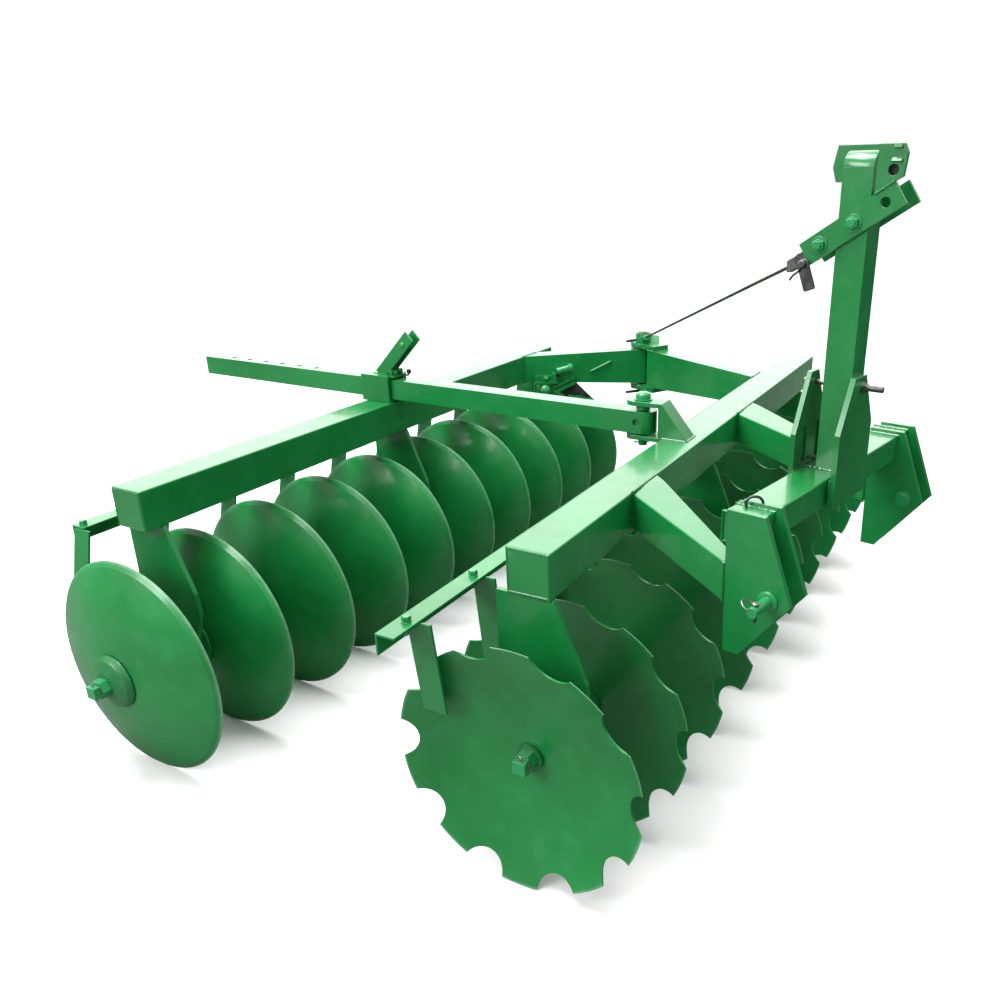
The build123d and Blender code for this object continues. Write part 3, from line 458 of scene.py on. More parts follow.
def piece(name, bm, material, body, angle=38):
    """The finished mesh as a piece that rides on a body."""
    bmesh.ops.recalc_face_normals(bm, faces=bm.faces)
    mesh = bpy.data.meshes.new(name)
    bm.to_mesh(mesh)
    bm.free()
    mesh.shade_smooth()
    mesh.set_sharp_from_angle(angle=math.radians(angle))
    made = bpy.data.objects.new(name, mesh)
    mesh.materials.append(material)
    bpy.context.scene.collection.objects.link(made)
    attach(made, body)


def at(base, x, y, z):
    """A point of a frame, in metres."""
    return base @ Vector((x, y, z))


def axis_of(base, x, y, z):
    """A direction of a frame."""
    return base.to_3x3() @ Vector((x, y, z))


# Beams: their closed ends, and what is bolted and welded under them
FRONT_BEAM = {"y0": 0.100, "y1": 2.100, "top": 0.725}
REAR_BEAM = {"y0": 0.060, "y1": 1.970, "top": 0.720}
CAP_INSET = 0.0045
SCRAPER_X = -0.193
SCRAPER_OFF = 0.037
FOOT_T = 0.006
BEARING_BOLTS = ((0.054, 0.039), (0.0, 0.0665), (-0.054, 0.039))
for side_name, base, beam, side in (("front", FRONT, FRONT_BEAM, 1), ("rear", REAR, REAR_BEAM, -1)):
    body = side_name + "_frame"
    top = beam["top"]
    low = top - BEAM_H

    # Weld round the closing plate of each end
    beads = bmesh.new()
    for y, out in ((beam["y0"], -1), (beam["y1"], 1)):
        inner = ((BEAM_BACK + CAP_INSET, low + CAP_INSET), (BEAM_FACE - CAP_INSET, low + CAP_INSET),
                 (BEAM_FACE - CAP_INSET, top - CAP_INSET), (BEAM_BACK + CAP_INSET, top - CAP_INSET))
        outline = [(x, y - out * 0.0005, z) for x, z in inner]
        weld_bead(beads, [at(base, *p) for p in outline], True, 0.0016)

    # Hangers: welds to the beam, the bearing's bolts and grease nipples
    bolts = bmesh.new()
    nipples = bmesh.new()
    for i in HANGER_DISCS:
        y0 = i * DISC_PITCH + HANGER_Y
        y1 = y0 + HANGER_T
        for y in (y0, y1):
            weld_bead(beads, [at(base, BEAM_BACK + 0.002, y, low), at(base, BEAM_FACE - 0.002, y, low)])
        plate_y = y0 if side > 0 else y1
        drum_y = y1 + BEARING_W if side > 0 else y0 - BEARING_W
        for x, up in BEARING_BOLTS:
            bolt(bolts, facing(at(base, x, plate_y, AXLE_Z + up), axis_of(base, 0, -side, 0)), 0.016)
            nut_place = facing(at(base, x, drum_y, AXLE_Z + up), axis_of(base, 0, side, 0))
            bolt(bolts, nut_place, 0.014, 0.004, False)
        drum_mid = (plate_y + side * HANGER_T + drum_y) / 2
        grease_nipple(nipples, facing(at(base, 0, drum_mid, AXLE_Z + BEARING_R - 0.0005), (0, 0, 1)))

    # Scraper feet, bolted to the bar from below
    feet = bmesh.new()
    for i in range(DISC_COUNT):
        y = i * DISC_PITCH - side * SCRAPER_OFF
        head = at(base, SCRAPER_X, y - side * 0.016, BAR_TOP)
        bolt(bolts, facing(head, (0, 0, 1), axis_of(base, 0, 1, 0)), 0.017)
        foot_y0, foot_y1 = sorted((y - side * 0.003, y - side * 0.034))
        box_piece(feet, base, SCRAPER_X - 0.016, SCRAPER_X + 0.018, foot_y0, foot_y1,
                  BAR_TOP - BAR_T - FOOT_T, BAR_TOP - BAR_T - 0.0002)
        nut = at(base, SCRAPER_X, y - side * 0.019, BAR_TOP - BAR_T - FOOT_T)
        bolt(bolts, facing(nut, (0, 0, -1), axis_of(base, 0, 1, 0)), 0.016, 0.004, False)
    piece(side_name + "_scraper_feet", feet, plate_paint, body)
    piece(side_name + "_frame_bolts", bolts, pin_paint, body)
    piece(side_name + "_grease_nipples", nipples, steel, body)
    piece(side_name + "_beam_welds", beads, weld_paint, body)

# The machine's own points, in metres from the front gang's first disc
HITCH_Y = 0.715
CLEVIS_MIDS = (0.3735, 1.0565)
CLEVIS_HALF = 0.025
PLATE_T = 0.012
CROSS_BACK, CROSS_FRONT = 0.242, 0.322
CROSS_LOW, CROSS_TOP = 0.730, 0.790
MAST_FRONT, MAST_HALF = 0.330, 0.030
LOWER_PIN = (0.352, 0.638)
FOOT_BOLT_Z = 0.968
LEVER_REAR, LEVER_FRONT = Vector((0.2095, 0, 1.2245)), Vector((0.3875, 0, 1.3420))
LEVER_T = 0.008
LEVER_BOLTS = (0.171, 0.531)
ARM_TOP, ARM_END_LOW = 0.725, 0.582
COLLAR_TOP, COLLAR_R = 0.777, 0.029

pivot = Vector(joints["rear_frame_fold"]["pos_m"])
pivot.z = 0
swing = Vector(joints["adjuster_swing"]["pos_m"])
swing.z = 0
swivel = Vector(joints["sleeve_swivel"]["pos_m"])
swivel.z = 0


def flat_frame(origin, along):
    """A level frame at a point, with x along a direction and z up."""
    run = Vector((along.x, along.y, 0)).normalized()
    turn = Matrix((run, Vector((-run.y, run.x, 0)), Vector((0, 0, 1)))).transposed()
    return Matrix.Translation(origin) @ turn.to_4x4()


front_arm_start = at(FRONT, BEAM_BACK, 1.722, 0)
rear_arm_start = at(REAR, BEAM_FACE, 1.800, 0)
FRONT_ARM = flat_frame(pivot, pivot - front_arm_start)
REAR_ARM = flat_frame(rear_arm_start, pivot - rear_arm_start)
SLEEVE = flat_frame(swivel, swivel - swing)
lever_run = LEVER_FRONT - LEVER_REAR
lever_up = Vector((-lever_run.z, 0, lever_run.x)).normalized()


def on_lever(share, y, up=0.0):
    """A point of the lever bars, by its share of their length."""
    p = LEVER_REAR + lever_run * share + lever_up * up
    return at(ORIGIN, p.x, y, p.z)


def skewed_root(base, x, y, frame_of_arm, half, low, top):
    """The corners where a box arm meets a beam's face at an angle."""
    lean = abs(axis_of(base, 1, 0, 0).dot(axis_of(frame_of_arm, 1, 0, 0)))
    wide = half / lean
    return [at(base, x, y - wide, top), at(base, x, y + wide, top), at(base, x, y + wide, low),
            at(base, x, y - wide, low)]


# Welds of the front frame: arms, clevises, mast, lugs, ears and the adjuster's bracket
beads = bmesh.new()
for root_y in (0.549, 1.287):
    corners = [(BEAM_FACE, root_y - 0.069, 0.725), (BEAM_FACE, root_y + 0.069, 0.725),
               (BEAM_FACE, root_y + 0.069, 0.641), (BEAM_FACE, root_y - 0.069, 0.641)]
    weld_bead(beads, [at(FRONT, *c) for c in corners], True)
weld_bead(beads, skewed_root(FRONT, BEAM_BACK, 1.722, FRONT_ARM, 0.036, 0.625, 0.725), True)
for middle in CLEVIS_MIDS:
    outward = -1 if middle < HITCH_Y else 1
    for y in (middle + outward * CLEVIS_HALF, middle - outward * CLEVIS_HALF,
              middle - outward * (CLEVIS_HALF + PLATE_T)):
        corners = [(CROSS_BACK, CROSS_TOP), (CROSS_FRONT, CROSS_TOP), (CROSS_FRONT, CROSS_LOW),
                   (CROSS_BACK, CROSS_LOW)]
        weld_bead(beads, [at(ORIGIN, x, y, z) for x, z in corners], True, 0.0032)
    tip_y = middle - 0.0165
    for y in (tip_y - 0.020, tip_y + 0.020):
        weld_bead(beads, [at(ORIGIN, 0.2555, y, 0.691), at(ORIGIN, 0.2555, y, 0.609)], False, 0.003)
for y in (HITCH_Y - MAST_HALF, HITCH_Y + MAST_HALF):
    weld_bead(beads, [at(ORIGIN, CROSS_BACK, y, CROSS_TOP), at(ORIGIN, MAST_FRONT, y, CROSS_TOP)])
    for x in (CROSS_BACK + 0.001, MAST_FRONT):
        weld_bead(beads, [at(ORIGIN, x, y, 0.800), at(ORIGIN, x, y, 0.880)], False, 0.003)
for x, y in ((CROSS_BACK, 0.637), (CROSS_BACK, 0.781), (MAST_FRONT, 0.624), (MAST_FRONT, 0.784)):
    weld_bead(beads, [at(ORIGIN, x, y, CROSS_LOW), at(ORIGIN, x, y, CROSS_TOP)], False, 0.003)
for y0, y1 in ((0.637, 0.685), (0.745, 0.781)):
    corners = [at(ORIGIN, CROSS_BACK, y, CROSS_TOP) for y in (y0, y1)]
    weld_bead(beads, corners, False, 0.003)
for z in (ARM_TOP, ARM_END_LOW):
    corners = [(-0.074, 0.036), (-0.110, 0.036), (-0.110, -0.036), (-0.074, -0.036)]
    weld_bead(beads, [at(FRONT_ARM, x, y, z) for x, y in corners], False, 0.0032)
strap_y0, strap_y1 = 0.8865, 0.9465
weld_bead(beads, [at(FRONT, 0.008, strap_y0, 0.725), at(FRONT, 0.008, strap_y1, 0.725)])
for y in (strap_y0, strap_y1):
    weld_bead(beads, [at(FRONT, -0.0615, y, 0.725), at(FRONT, 0.008, y, 0.725)], False, 0.003)
weld_bead(beads, [at(FRONT, BEAM_BACK, strap_y0, 0.713), at(FRONT, BEAM_BACK, strap_y1, 0.713)])
weld_bead(beads, [at(ORIGIN, 0.340, 0.677, 1.3382), at(ORIGIN, 0.374, 0.677, 1.3606)], False, 0.0026)
weld_bead(beads, [at(ORIGIN, 0.270, 0.745, 1.357), at(ORIGIN, 0.330, 0.745, 1.357)], False, 0.0026)
weld_bead(beads, [at(ORIGIN, 0.270, 0.745, 1.357), at(ORIGIN, 0.270, 0.745, 1.400)], False, 0.0026)
piece("front_frame_welds", beads, weld_paint, "front_frame")

# Welds of the rear frame: its arm on the beam, and the hinge barrel on the arm
beads = bmesh.new()
weld_bead(beads, skewed_root(REAR, BEAM_FACE, 1.800, REAR_ARM, 0.036, 0.620, 0.720), True)
arm_length = (pivot - rear_arm_start).length
for y in (-0.032, 0.032):
    weld_bead(beads, [at(REAR_ARM, arm_length, y, 0.590), at(REAR_ARM, arm_length, y, 0.719)], False, 0.003)
piece("rear_arm_welds", beads, weld_paint, "rear_frame")

# Welds of the sleeve: its base and the lock lever's feet
beads = bmesh.new()
for y in (-0.020, 0.020):
    weld_bead(beads, [at(SLEEVE, -0.032, y, 0.803), at(SLEEVE, 0.022, y, 0.803)], False, 0.0026)
piece("sleeve_welds", beads, weld_paint, "sleeve")

# Bolts of the mast: nuts on the lever bolts, and the foot bolt's nuts, washers and thread
nuts = bmesh.new()
for share in LEVER_BOLTS:
    for side in (-1, 1):
        place = facing(on_lever(share, HITCH_Y + side * (MAST_HALF + LEVER_T)), (0, side, 0), lever_run)
        lathe(nuts, place, ((0.0158, 0), (0.0165, 0.0005), (0.0165, 0.0020), (0.0160, 0.0024)), 24)
        hexagon(nuts, place, 0.022, 0.0085, 0.0024)
        lathe(nuts, place, ((0.0072, 0.0105), (0.0072, 0.0122), (0.0060, 0.0135)), 16)
piece("lever_bolt_nuts", nuts, pin_paint, "front_frame")
nuts = bmesh.new()
for x, side in ((0.230, -1), (0.342, 1)):
    place = facing(at(ORIGIN, x, HITCH_Y, FOOT_BOLT_Z), (side, 0, 0))
    lathe(nuts, place, ((0.0115, 0), (0.0120, 0.0004), (0.0120, 0.0016), (0.0116, 0.0020)), 20)
    hexagon(nuts, place, 0.0185, 0.0085, 0.0020)
thread = facing(at(ORIGIN, 0.3525, HITCH_Y, FOOT_BOLT_Z), (1, 0, 0))
profile = []
for i in range(16):
    profile += [(0.0060, i * 0.0020), (0.0066, i * 0.0020 + 0.0010)]
profile.append((0.0060, 0.0320))
lathe(nuts, thread, profile, 16)
piece("foot_bolt_nuts", nuts, steel, "front_frame")

# Right ear: a dark rubber disc behind its spare hole, painted shade that darkens the hole, and two small
# plates on its outer face
hole_shade_disc = bmesh.new()
# Painted shade: the disc is dark rubber so the spare hole reads dark
place = facing(at(ORIGIN, 0.369, 0.6900, 1.380), (0, 1, 0), (1, 0, 0))
lathe(hole_shade_disc, place, ((0.0150, 0), (0.0155, 0.0006), (0.0155, 0.0090), (0.0140, 0.0100)), 28)
piece("ear_hole_shade_disc", hole_shade_disc, rubber, "front_frame")
clip = bmesh.new()
for half_x, half_y, height, lean in ((0.010, 0.0045, 1.3960, 0.9), (0.008, 0.0040, 1.4195, 0.5)):
    place = facing(at(ORIGIN, 0.374, 0.6772, height), (0, -1, lean), (1, 0, 0))
    plate(clip, place, ((-half_x, -half_y), (half_x, -half_y), (half_x, half_y), (-half_x, half_y)), 0.0035)
piece("ear_clip", clip, plate_paint, "front_frame")

# Lower pins: shoulder washers and lynch pins
washers = bmesh.new()
pins = bmesh.new()
for middle in CLEVIS_MIDS:
    outward = -1 if middle < HITCH_Y else 1
    step = middle + outward * (CLEVIS_HALF + PLATE_T)
    inner = middle - outward * (CLEVIS_HALF + PLATE_T)
    place = facing(at(ORIGIN, LOWER_PIN[0], step, LOWER_PIN[1]), (0, outward, 0))
    lathe(washers, place, ((0.0195, 0), (0.0205, 0.0008), (0.0205, 0.0042), (0.0190, 0.0054),
                           (0.0112, 0.0060)), 28)
    place = facing(at(ORIGIN, LOWER_PIN[0], inner, LOWER_PIN[1]), (0, -outward, 0))
    lathe(washers, place, ((0.0190, 0), (0.0200, 0.0006), (0.0200, 0.0030), (0.0150, 0.0044)), 28)
    lynch_at = at(ORIGIN, LOWER_PIN[0], step + outward * 0.050, LOWER_PIN[1] + 0.0105)
    lynch_pin(pins, facing(lynch_at, (0, 0, 1), (-1, 0, 0)), 0.034, 0.0045, 0.014)
piece("lower_pin_collars", washers, pin_paint, "front_frame")
piece("lower_pin_lynch_pins", pins, steel, "front_frame")

# Pivot: the collar's rim and pin end, the pins through it, and the stay rod's anchor
CROSS_PIN_Z = 0.751
FOOT_PIN_Z = 0.549
ANCHOR_Z = 0.7475
ANCHOR_OUT = 0.046
ANCHOR_TILT = 0.95
STAY_FOOT_Z = 0.755
STAY_RISE = 0.40
cap = bmesh.new()
place = facing((pivot.x, pivot.y, COLLAR_TOP), (0, 0, 1))
lathe(cap, place, ((0.0285, -0.0030), (0.0300, -0.0020), (0.0302, 0.0004), (0.0285, 0.0018), (0.0230, 0.0018),
                   (0.0225, 0.0006), (0.0040, 0.0006)), 36)
piece("pivot_cap", cap, cast_paint, "front_frame")

# How the pins and the anchor are turned about the pivot doesn't show, so they lie square to the view
camera_right = Vector((math.cos(math.radians(CAMERA_AZIMUTH)), math.sin(math.radians(CAMERA_AZIMUTH)), 0))
camera_near = Vector((camera_right.y, -camera_right.x, 0))
pins = bmesh.new()
lathe(pins, place, ((0.0190, 0.0002), (0.0190, 0.0030), (0.0170, 0.0042), (0.0040, 0.0044)), 28)
cross_at = Vector((pivot.x, pivot.y, CROSS_PIN_Z))
place = facing(cross_at - camera_right * (COLLAR_R - 0.001), -camera_right - Vector((0, 0, 0.12)))
lathe(pins, place, ((0.0056, -0.004), (0.0056, 0.032), (0.0048, 0.038), (0.0030, 0.040)), 14)
foot_at = Vector((pivot.x, pivot.y, FOOT_PIN_Z))
place = facing(foot_at - camera_right * 0.012, -camera_right - Vector((0, 0, 0.10)))
lathe(pins, place, ((0.0056, 0), (0.0056, 0.048), (0.0048, 0.054), (0.0030, 0.056)), 14)
piece("pivot_cross_pins", pins, wire_steel, "front_frame")
anchor = bmesh.new()
anchor_at = Vector((pivot.x, pivot.y, ANCHOR_Z)) + camera_right * ANCHOR_OUT
place = facing(anchor_at, camera_near + Vector((0, 0, ANCHOR_TILT)), camera_right)
plate(anchor, place, ((-0.019, -0.020), (0.016, -0.020), (0.016, 0.014), (0.010, 0.020),
                      (-0.019, 0.020)), 0.007)
stay_foot = Vector((pivot.x, pivot.y, STAY_FOOT_Z))
stay_head = at(ORIGIN, LEVER_REAR.x, HITCH_Y, 0)
stay_way = Vector((stay_head.x - stay_foot.x, stay_head.y - stay_foot.y, STAY_RISE)).normalized()
place = facing(stay_foot + stay_way * 0.026, stay_way)
lathe(anchor, place, ((0.0100, 0), (0.0112, 0.002), (0.0112, 0.038), (0.0090, 0.041)), 18)
piece("stay_rod_anchor", anchor, pin_paint, "front_frame")
lock = bmesh.new()
place = facing((pivot.x, pivot.y, 0.552), (0, 0, -1))
lathe(lock, place, ((0.0150, -0.001), (0.0150, 0.0015), (0.0120, 0.0040), (0.0050, 0.0050)), 24)
piece("pivot_pin_foot", lock, pin_paint, "front_frame")

# Adjuster pin: its domed head and the split pin under it
dome = bmesh.new()
place = facing((swing.x, swing.y, 0.829), (0, 0, 1))
lathe(dome, place, ((0.0200, -0.0005), (0.0198, 0.0020), (0.0172, 0.0060), (0.0110, 0.0086),
                    (0.0030, 0.0096)), 28)
place = facing((swing.x, swing.y, 0.817), (0, 0, -1))
lathe(dome, place, ((0.0240, -0.0002), (0.0245, -0.0010), (0.0245, -0.0030), (0.0205, -0.0036)), 28)
place = facing((swing.x, swing.y, 0.792), (0, 0, 1))
lathe(dome, place, ((0.0185, 0), (0.0190, 0.0006), (0.0190, 0.0124), (0.0185, 0.0130)), 28)
piece("adjuster_pin_head", dome, pin_paint, "front_frame")
pins = bmesh.new()
place = facing((swing.x, swing.y, 0.701), camera_right, (0, 0, 1))
place = place @ Matrix.Translation((0, 0, -0.012))
split_pin(pins, place @ Matrix.Rotation(math.pi, 4, "X"), 0.024, 0.0030)
place = facing((swing.x, swing.y, 0.7128), (0, 0, -1))
lathe(pins, place, ((0.0195, 0), (0.0200, 0.0005), (0.0200, 0.0022), (0.0195, 0.0027)), 24)
piece("adjuster_split_pin", pins, steel, "front_frame")

# Axle ends: a split pin across each square end, and a thin ring on each nut's outer face
for side_name, base, ends in (("front", FRONT, ((0.0258, -1), (2.1828, 1))),
                              ("rear", REAR, ((-0.1288, -1), (2.0442, 1)))):
    pins = bmesh.new()
    for y, out in ends:
        place = facing(at(base, 0, y, AXLE_Z + 0.015), (0, 0, 1), axis_of(base, 0, 1, 0))
        split_pin(pins, place, 0.032, 0.0026)
        bevel_ring = facing(at(base, 0, y - out * 0.0085, AXLE_Z), axis_of(base, 0, out, 0))
        lathe(pins, bevel_ring, ((0.0195, -0.0002), (0.0200, 0.0004), (0.0180, 0.0014)), 6)
    piece(side_name + "_axle_pins", pins, steel, side_name + "_gang")

# Wire staple on the cross tube's right end
staple = bmesh.new()
STAPLE_FEET = ((0.270, 0.3870), (0.293, 0.4035))
STAPLE_H = 0.024
foot_a = at(ORIGIN, *STAPLE_FEET[0], CROSS_TOP - 0.001)
foot_b = at(ORIGIN, *STAPLE_FEET[1], CROSS_TOP - 0.001)
rise = Vector((0, 0, STAPLE_H))
STAPLE_BENDS = ((-0.06, 0.55), (0.18, 0.92), (0.5, 1.0), (0.82, 0.92), (1.06, 0.55))
bends = [foot_a.lerp(foot_b, share) + rise * up for share, up in STAPLE_BENDS]
tube(staple, smooth_path([foot_a, *bends, foot_b], 6), 0.0028, 10)
piece("cross_tube_staple", staple, dark_steel, "front_frame")

# Shackle: a hanging flat link and a short bent wire
tag = bmesh.new()
tag_top = at(ORIGIN, 0.2130, 0.6700, 1.2080)
tag_way = Vector((0.35, 0, -0.94)).normalized()
tag_place = facing(tag_top, (0, -1, 0), tag_way)
outline = []
for i in range(9):
    turn_a = math.radians(90 + 180 * i / 8)
    outline.append((0.010 * math.cos(turn_a), 0.0125 * math.sin(turn_a)))
outline += [(0.050, -0.0125), (0.053, -0.0100), (0.053, 0.0100), (0.050, 0.0125)]
plate(tag, tag_place, outline, 0.004)
lathe(tag, tag_place, ((0.0078, -0.006), (0.0084, -0.005), (0.0084, 0.0075), (0.0060, 0.0100)), 16)
piece("shackle_tag", tag, dark_steel, "front_frame")
wire = bmesh.new()
wire_points = ((0.2120, 0.6660, 1.2060), (0.2060, 0.6640, 1.1940), (0.1960, 0.6640, 1.1860),
               (0.1880, 0.6660, 1.1760))
tube(wire, smooth_path([at(ORIGIN, *p) for p in wire_points], 6), 0.0022, 8)
piece("shackle_wire", wire, wire_steel, "front_frame")

# Latch on the rear arm's near face: a block, a bolted bracket, a rod and a rubber flap, as (along, height)
NEAR = -0.036


def on_arm(along, z, out=0.0):
    """A point off the rear arm's near face."""
    return at(REAR_ARM, along, NEAR - out, z)


latch = bmesh.new()
near_way = axis_of(REAR_ARM, 0, -1, 0)
arm_way = axis_of(REAR_ARM, 1, 0, 0)
up_way = Vector((0, 0, 1))
cheek = facing(on_arm(0, 0), near_way, arm_way)
plate(latch, cheek, ((0.004, 0.556), (0.094, 0.556), (0.112, 0.632), (0.108, 0.644), (0.010, 0.644)), 0.010)
box_piece(latch, REAR_ARM, 0.008, 0.096, NEAR - 0.022, NEAR - 0.010, 0.612, 0.622)
box_piece(latch, REAR_ARM, 0.012, 0.026, NEAR - 0.026, NEAR - 0.010, 0.560, 0.612)
box_piece(latch, REAR_ARM, 0.076, 0.090, NEAR - 0.026, NEAR, 0.612, 0.655)
for up, out in ((0.578, 0.018), (0.596, 0.010)):
    strip = facing(on_arm(0.080, up, out), arm_way + up_way * 0.42, near_way)
    box_piece(latch, strip, -0.005, 0.008, -0.0055, 0.0055, 0.0, 0.092)
piece("latch_bracket", latch, plate_paint, "rear_frame")
pins = bmesh.new()
peg_way = on_arm(0.157, 0.6800) - on_arm(0.092, 0.6660)
place = facing(on_arm(0.092, 0.6610, 0.022), peg_way)
lathe(pins, place, ((0.0105, 0), (0.0130, 0.002), (0.0120, 0.046), (0.0150, 0.048), (0.0150, 0.060),
                    (0.0120, 0.064)), 20)
place = facing(on_arm(0.046, 0.5930, 0.024), near_way + up_way * 0.5, arm_way)
lathe(pins, place, ((0.0185, -0.012), (0.0185, 0.0006), (0.0185, 0.0030), (0.0160, 0.0036), (0.0160, 0.0090),
                    (0.0120, 0.0130), (0.0050, 0.0148)), 28)
place = facing(on_arm(0.052, 0.6350, 0.010), near_way + up_way * 0.4, arm_way)
bolt(pins, place, 0.016)
piece("latch_pins", pins, pin_paint, "rear_frame")
rod = bmesh.new()
rod_points = [on_arm(0.229, 0.6480, 0.003), on_arm(0.236, 0.6520, 0.008), on_arm(0.270, 0.6665, 0.009),
              on_arm(0.302, 0.6805, 0.008), on_arm(0.309, 0.6840, 0.003)]
tube(rod, smooth_path(rod_points, 5), 0.0045, 10)
piece("latch_rod", rod, pin_paint, "rear_frame")
flap = bmesh.new()
FLAP = ((0.090, 0.592), (0.153, 0.622), (0.169, 0.614), (0.229, 0.550), (0.212, 0.551), (0.182, 0.562),
        (0.156, 0.559), (0.144, 0.566), (0.134, 0.555), (0.106, 0.576))
rows = []
for out in (0.014, 0.018):
    rows.append([flap.verts.new(on_arm(along, z, out + 0.012 * math.sin(along * 38.0))) for along, z in FLAP])
skin(flap, rows)
box_piece(flap, REAR_ARM, 0.092, 0.104, NEAR - 0.012, NEAR, 0.636, 0.660)
piece("rubber_flap", flap, rubber, "rear_frame", 60)

# Sleeve: the clamp on its right end with a headed pin, a round nub on the lock lever, and the bent lock pin
clamp = bmesh.new()
box_piece(clamp, SLEEVE, -0.066, -0.046, -0.030, 0.030, 0.795, 0.803)
box_piece(clamp, SLEEVE, -0.058, -0.047, -0.026, 0.026, 0.803, 0.818)
bolt(clamp, facing(at(SLEEVE, -0.058, 0.012, 0.8095), axis_of(SLEEVE, -1, 0, 0)), 0.012)
piece("sleeve_clamp", clamp, plate_paint, "sleeve")
nub = bmesh.new()
lever_face = facing(at(SLEEVE, -0.103, 0.0200, 0.901), axis_of(SLEEVE, 0, 1, 0.25))
lathe(nub, lever_face, ((0.0072, -0.003), (0.0072, 0.0020), (0.0050, 0.0040), (0.0020, 0.0048)), 18)
piece("lever_nub", nub, pin_paint, "sleeve")
pins = bmesh.new()
LOCK_PIN_Y = -0.004
LOCK_PIN_BENDS = ((-0.056, 0.808), (-0.072, 0.805), (-0.088, 0.803), (-0.098, 0.804), (-0.101, 0.811))
pin_points = [at(SLEEVE, along, LOCK_PIN_Y, z) for along, z in LOCK_PIN_BENDS]
tube(pins, smooth_path(pin_points, 5), 0.0030, 8)
place = facing(at(SLEEVE, -0.101, LOCK_PIN_Y, 0.808), (0, 0, 1))
lathe(pins, place, ((0.0040, 0), (0.0072, 0.003), (0.0072, 0.011), (0.0040, 0.014)), 14)
piece("sleeve_lock_pin", pins, wire_steel, "sleeve")

# Floor: pale to the camera, and darker as the paint sees and mirrors it
bpy.ops.mesh.primitive_plane_add(size=60, location=(0, 0, 0))
floor = bpy.context.object
floor.name = "floor"
floor_material, floor_tree, floor_shader = new_material("pale_floor")
floor_shader.inputs["Roughness"].default_value = 0.9
floor_shader.inputs["Specular IOR Level"].default_value = 0.0
FLOOR_SEEN = 0.95
FLOOR_BOUNCE = 0.36
FLOOR_GLOSS_NEAR = 0.17
FLOOR_GLOSS_SIDE = 0.02
FLOOR_SIDE_FROM = 0.6
FLOOR_SIDE_TO = 1.5
floor_path = floor_tree.nodes.new("ShaderNodeLightPath")
floor_coords = floor_tree.nodes.new("ShaderNodeTexCoord")
floor_axes = floor_tree.nodes.new("ShaderNodeSeparateXYZ")
floor_tree.links.new(floor_coords.outputs["Object"], floor_axes.inputs["Vector"])
floor_share = floor_tree.nodes.new("ShaderNodeMapRange")
floor_share.inputs["From Min"].default_value = FLOOR_SIDE_FROM
floor_share.inputs["From Max"].default_value = FLOOR_SIDE_TO
floor_tree.links.new(floor_axes.outputs["X"], floor_share.inputs["Value"])
floor_gloss = mix(floor_tree, floor_share.outputs["Result"], (FLOOR_GLOSS_NEAR,) * 3, (FLOOR_GLOSS_SIDE,) * 3)
floor_unseen = mix(floor_tree, floor_path.outputs["Is Glossy Ray"], (FLOOR_BOUNCE,) * 3, floor_gloss)
floor_tree.links.new(mix(floor_tree, floor_path.outputs["Is Camera Ray"], floor_unseen, (FLOOR_SEEN,) * 3),
                     floor_shader.inputs["Base Color"])
floor.data.materials.append(floor_material)

# Light: a white sky that is dimmer at its sides, one soft bright side, and two large lamps
WORLD_UP = 1.0
WORLD_SIDE = 0.30
WORLD_SEEN = 1.0
SOFT_SIDE = Vector((-0.600, 0.705, 0.380))
SOFT_GAIN = 1.9
world = bpy.data.worlds.new("studio")
world.use_nodes = True
sky = world.node_tree
sky_coords = sky.nodes.new("ShaderNodeTexCoord")
sky_axes = sky.nodes.new("ShaderNodeSeparateXYZ")
sky.links.new(sky_coords.outputs["Generated"], sky_axes.inputs["Vector"])
sky_rise = sky.nodes.new("ShaderNodeMapRange")
sky_rise.interpolation_type = "SMOOTHSTEP"
sky_rise.inputs["From Min"].default_value = 0.05
sky_rise.inputs["From Max"].default_value = 0.60
sky_rise.inputs["To Min"].default_value = WORLD_SIDE
sky_rise.inputs["To Max"].default_value = WORLD_UP
sky.links.new(sky_axes.outputs["Z"], sky_rise.inputs["Value"])
sky_side = sky.nodes.new("ShaderNodeVectorMath")
sky_side.operation = "DOT_PRODUCT"
sky_side.inputs[1].default_value = SOFT_SIDE.normalized()
sky.links.new(sky_coords.outputs["Generated"], sky_side.inputs[0])
sky_soft = sky.nodes.new("ShaderNodeMapRange")
sky_soft.interpolation_type = "SMOOTHSTEP"
sky_soft.inputs["From Min"].default_value = 0.62
sky_soft.inputs["From Max"].default_value = 0.92
sky_soft.inputs["To Min"].default_value = 0.0
sky_soft.inputs["To Max"].default_value = SOFT_GAIN
sky.links.new(sky_side.outputs["Value"], sky_soft.inputs["Value"])
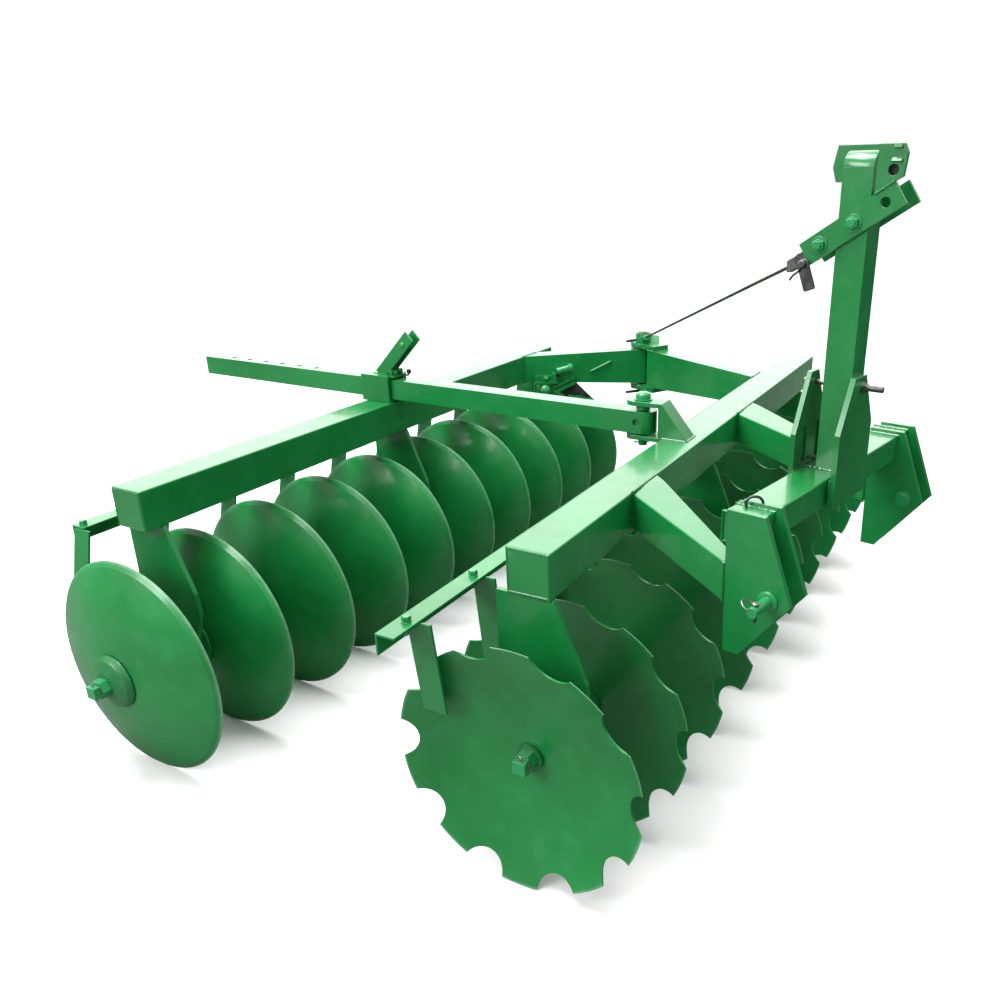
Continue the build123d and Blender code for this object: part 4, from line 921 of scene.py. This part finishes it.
sky_sum = sky.nodes.new("ShaderNodeMath")
sky_sum.operation = "ADD"
sky.links.new(sky_rise.outputs["Result"], sky_sum.inputs[0])
sky.links.new(sky_soft.outputs["Result"], sky_sum.inputs[1])
light_path = sky.nodes.new("ShaderNodeLightPath")
sky_seen = sky.nodes.new("ShaderNodeMix")
sky.links.new(light_path.outputs["Is Camera Ray"], sky_seen.inputs["Factor"])
sky.links.new(sky_sum.outputs["Value"], sky_seen.inputs["A"])
sky_seen.inputs["B"].default_value = WORLD_SEEN
sky.nodes["Background"].inputs["Color"].default_value = (1, 1, 1, 1)
sky.links.new(sky_seen.outputs["Result"], sky.nodes["Background"].inputs["Strength"])
bpy.context.scene.world = world


def soft_box(name, at_point, aim, size, power):
    """A square lamp that the camera doesn't see."""
    data = bpy.data.lights.new(name, "AREA")
    data.energy = power
    data.size = size
    lamp = bpy.data.objects.new(name, data)
    bpy.context.scene.collection.objects.link(lamp)
    lamp.location = at_point
    lamp.rotation_euler = (Vector(aim) - lamp.location).to_track_quat("-Z", "Y").to_euler()
    lamp.visible_camera = False


soft_box("overhead", (-0.6, -0.8, 5.5), (0, 0, 0.5), 3.0, 330)
soft_box("left_key", (-1.0, -5.5, 3.4), (0, 0, 0.4), 2.5, 185)
bpy.context.scene.view_settings.view_transform = "Standard"

# Camera
a = math.radians(CAMERA_AZIMUTH)
e = math.radians(CAMERA_ELEVATION)
back = Vector((math.sin(a) * math.cos(e), -math.cos(a) * math.cos(e), math.sin(e)))
camera_data = bpy.data.cameras.new("camera")
camera_data.sensor_width = 36
camera_data.lens = LENS_MM
camera_data.shift_x = SHIFT_X
camera_data.shift_y = SHIFT_Y
camera = bpy.data.objects.new("camera", camera_data)
bpy.context.scene.collection.objects.link(camera)
turn = (-back).to_track_quat("-Z", "Y").to_matrix() @ Matrix.Rotation(math.radians(CAMERA_ROLL), 3, "Z")
camera.matrix_world = Matrix.Translation(FRONT.translation + CAMERA_FROM_DISC) @ turn.to_4x4()
bpy.context.scene.camera = camera
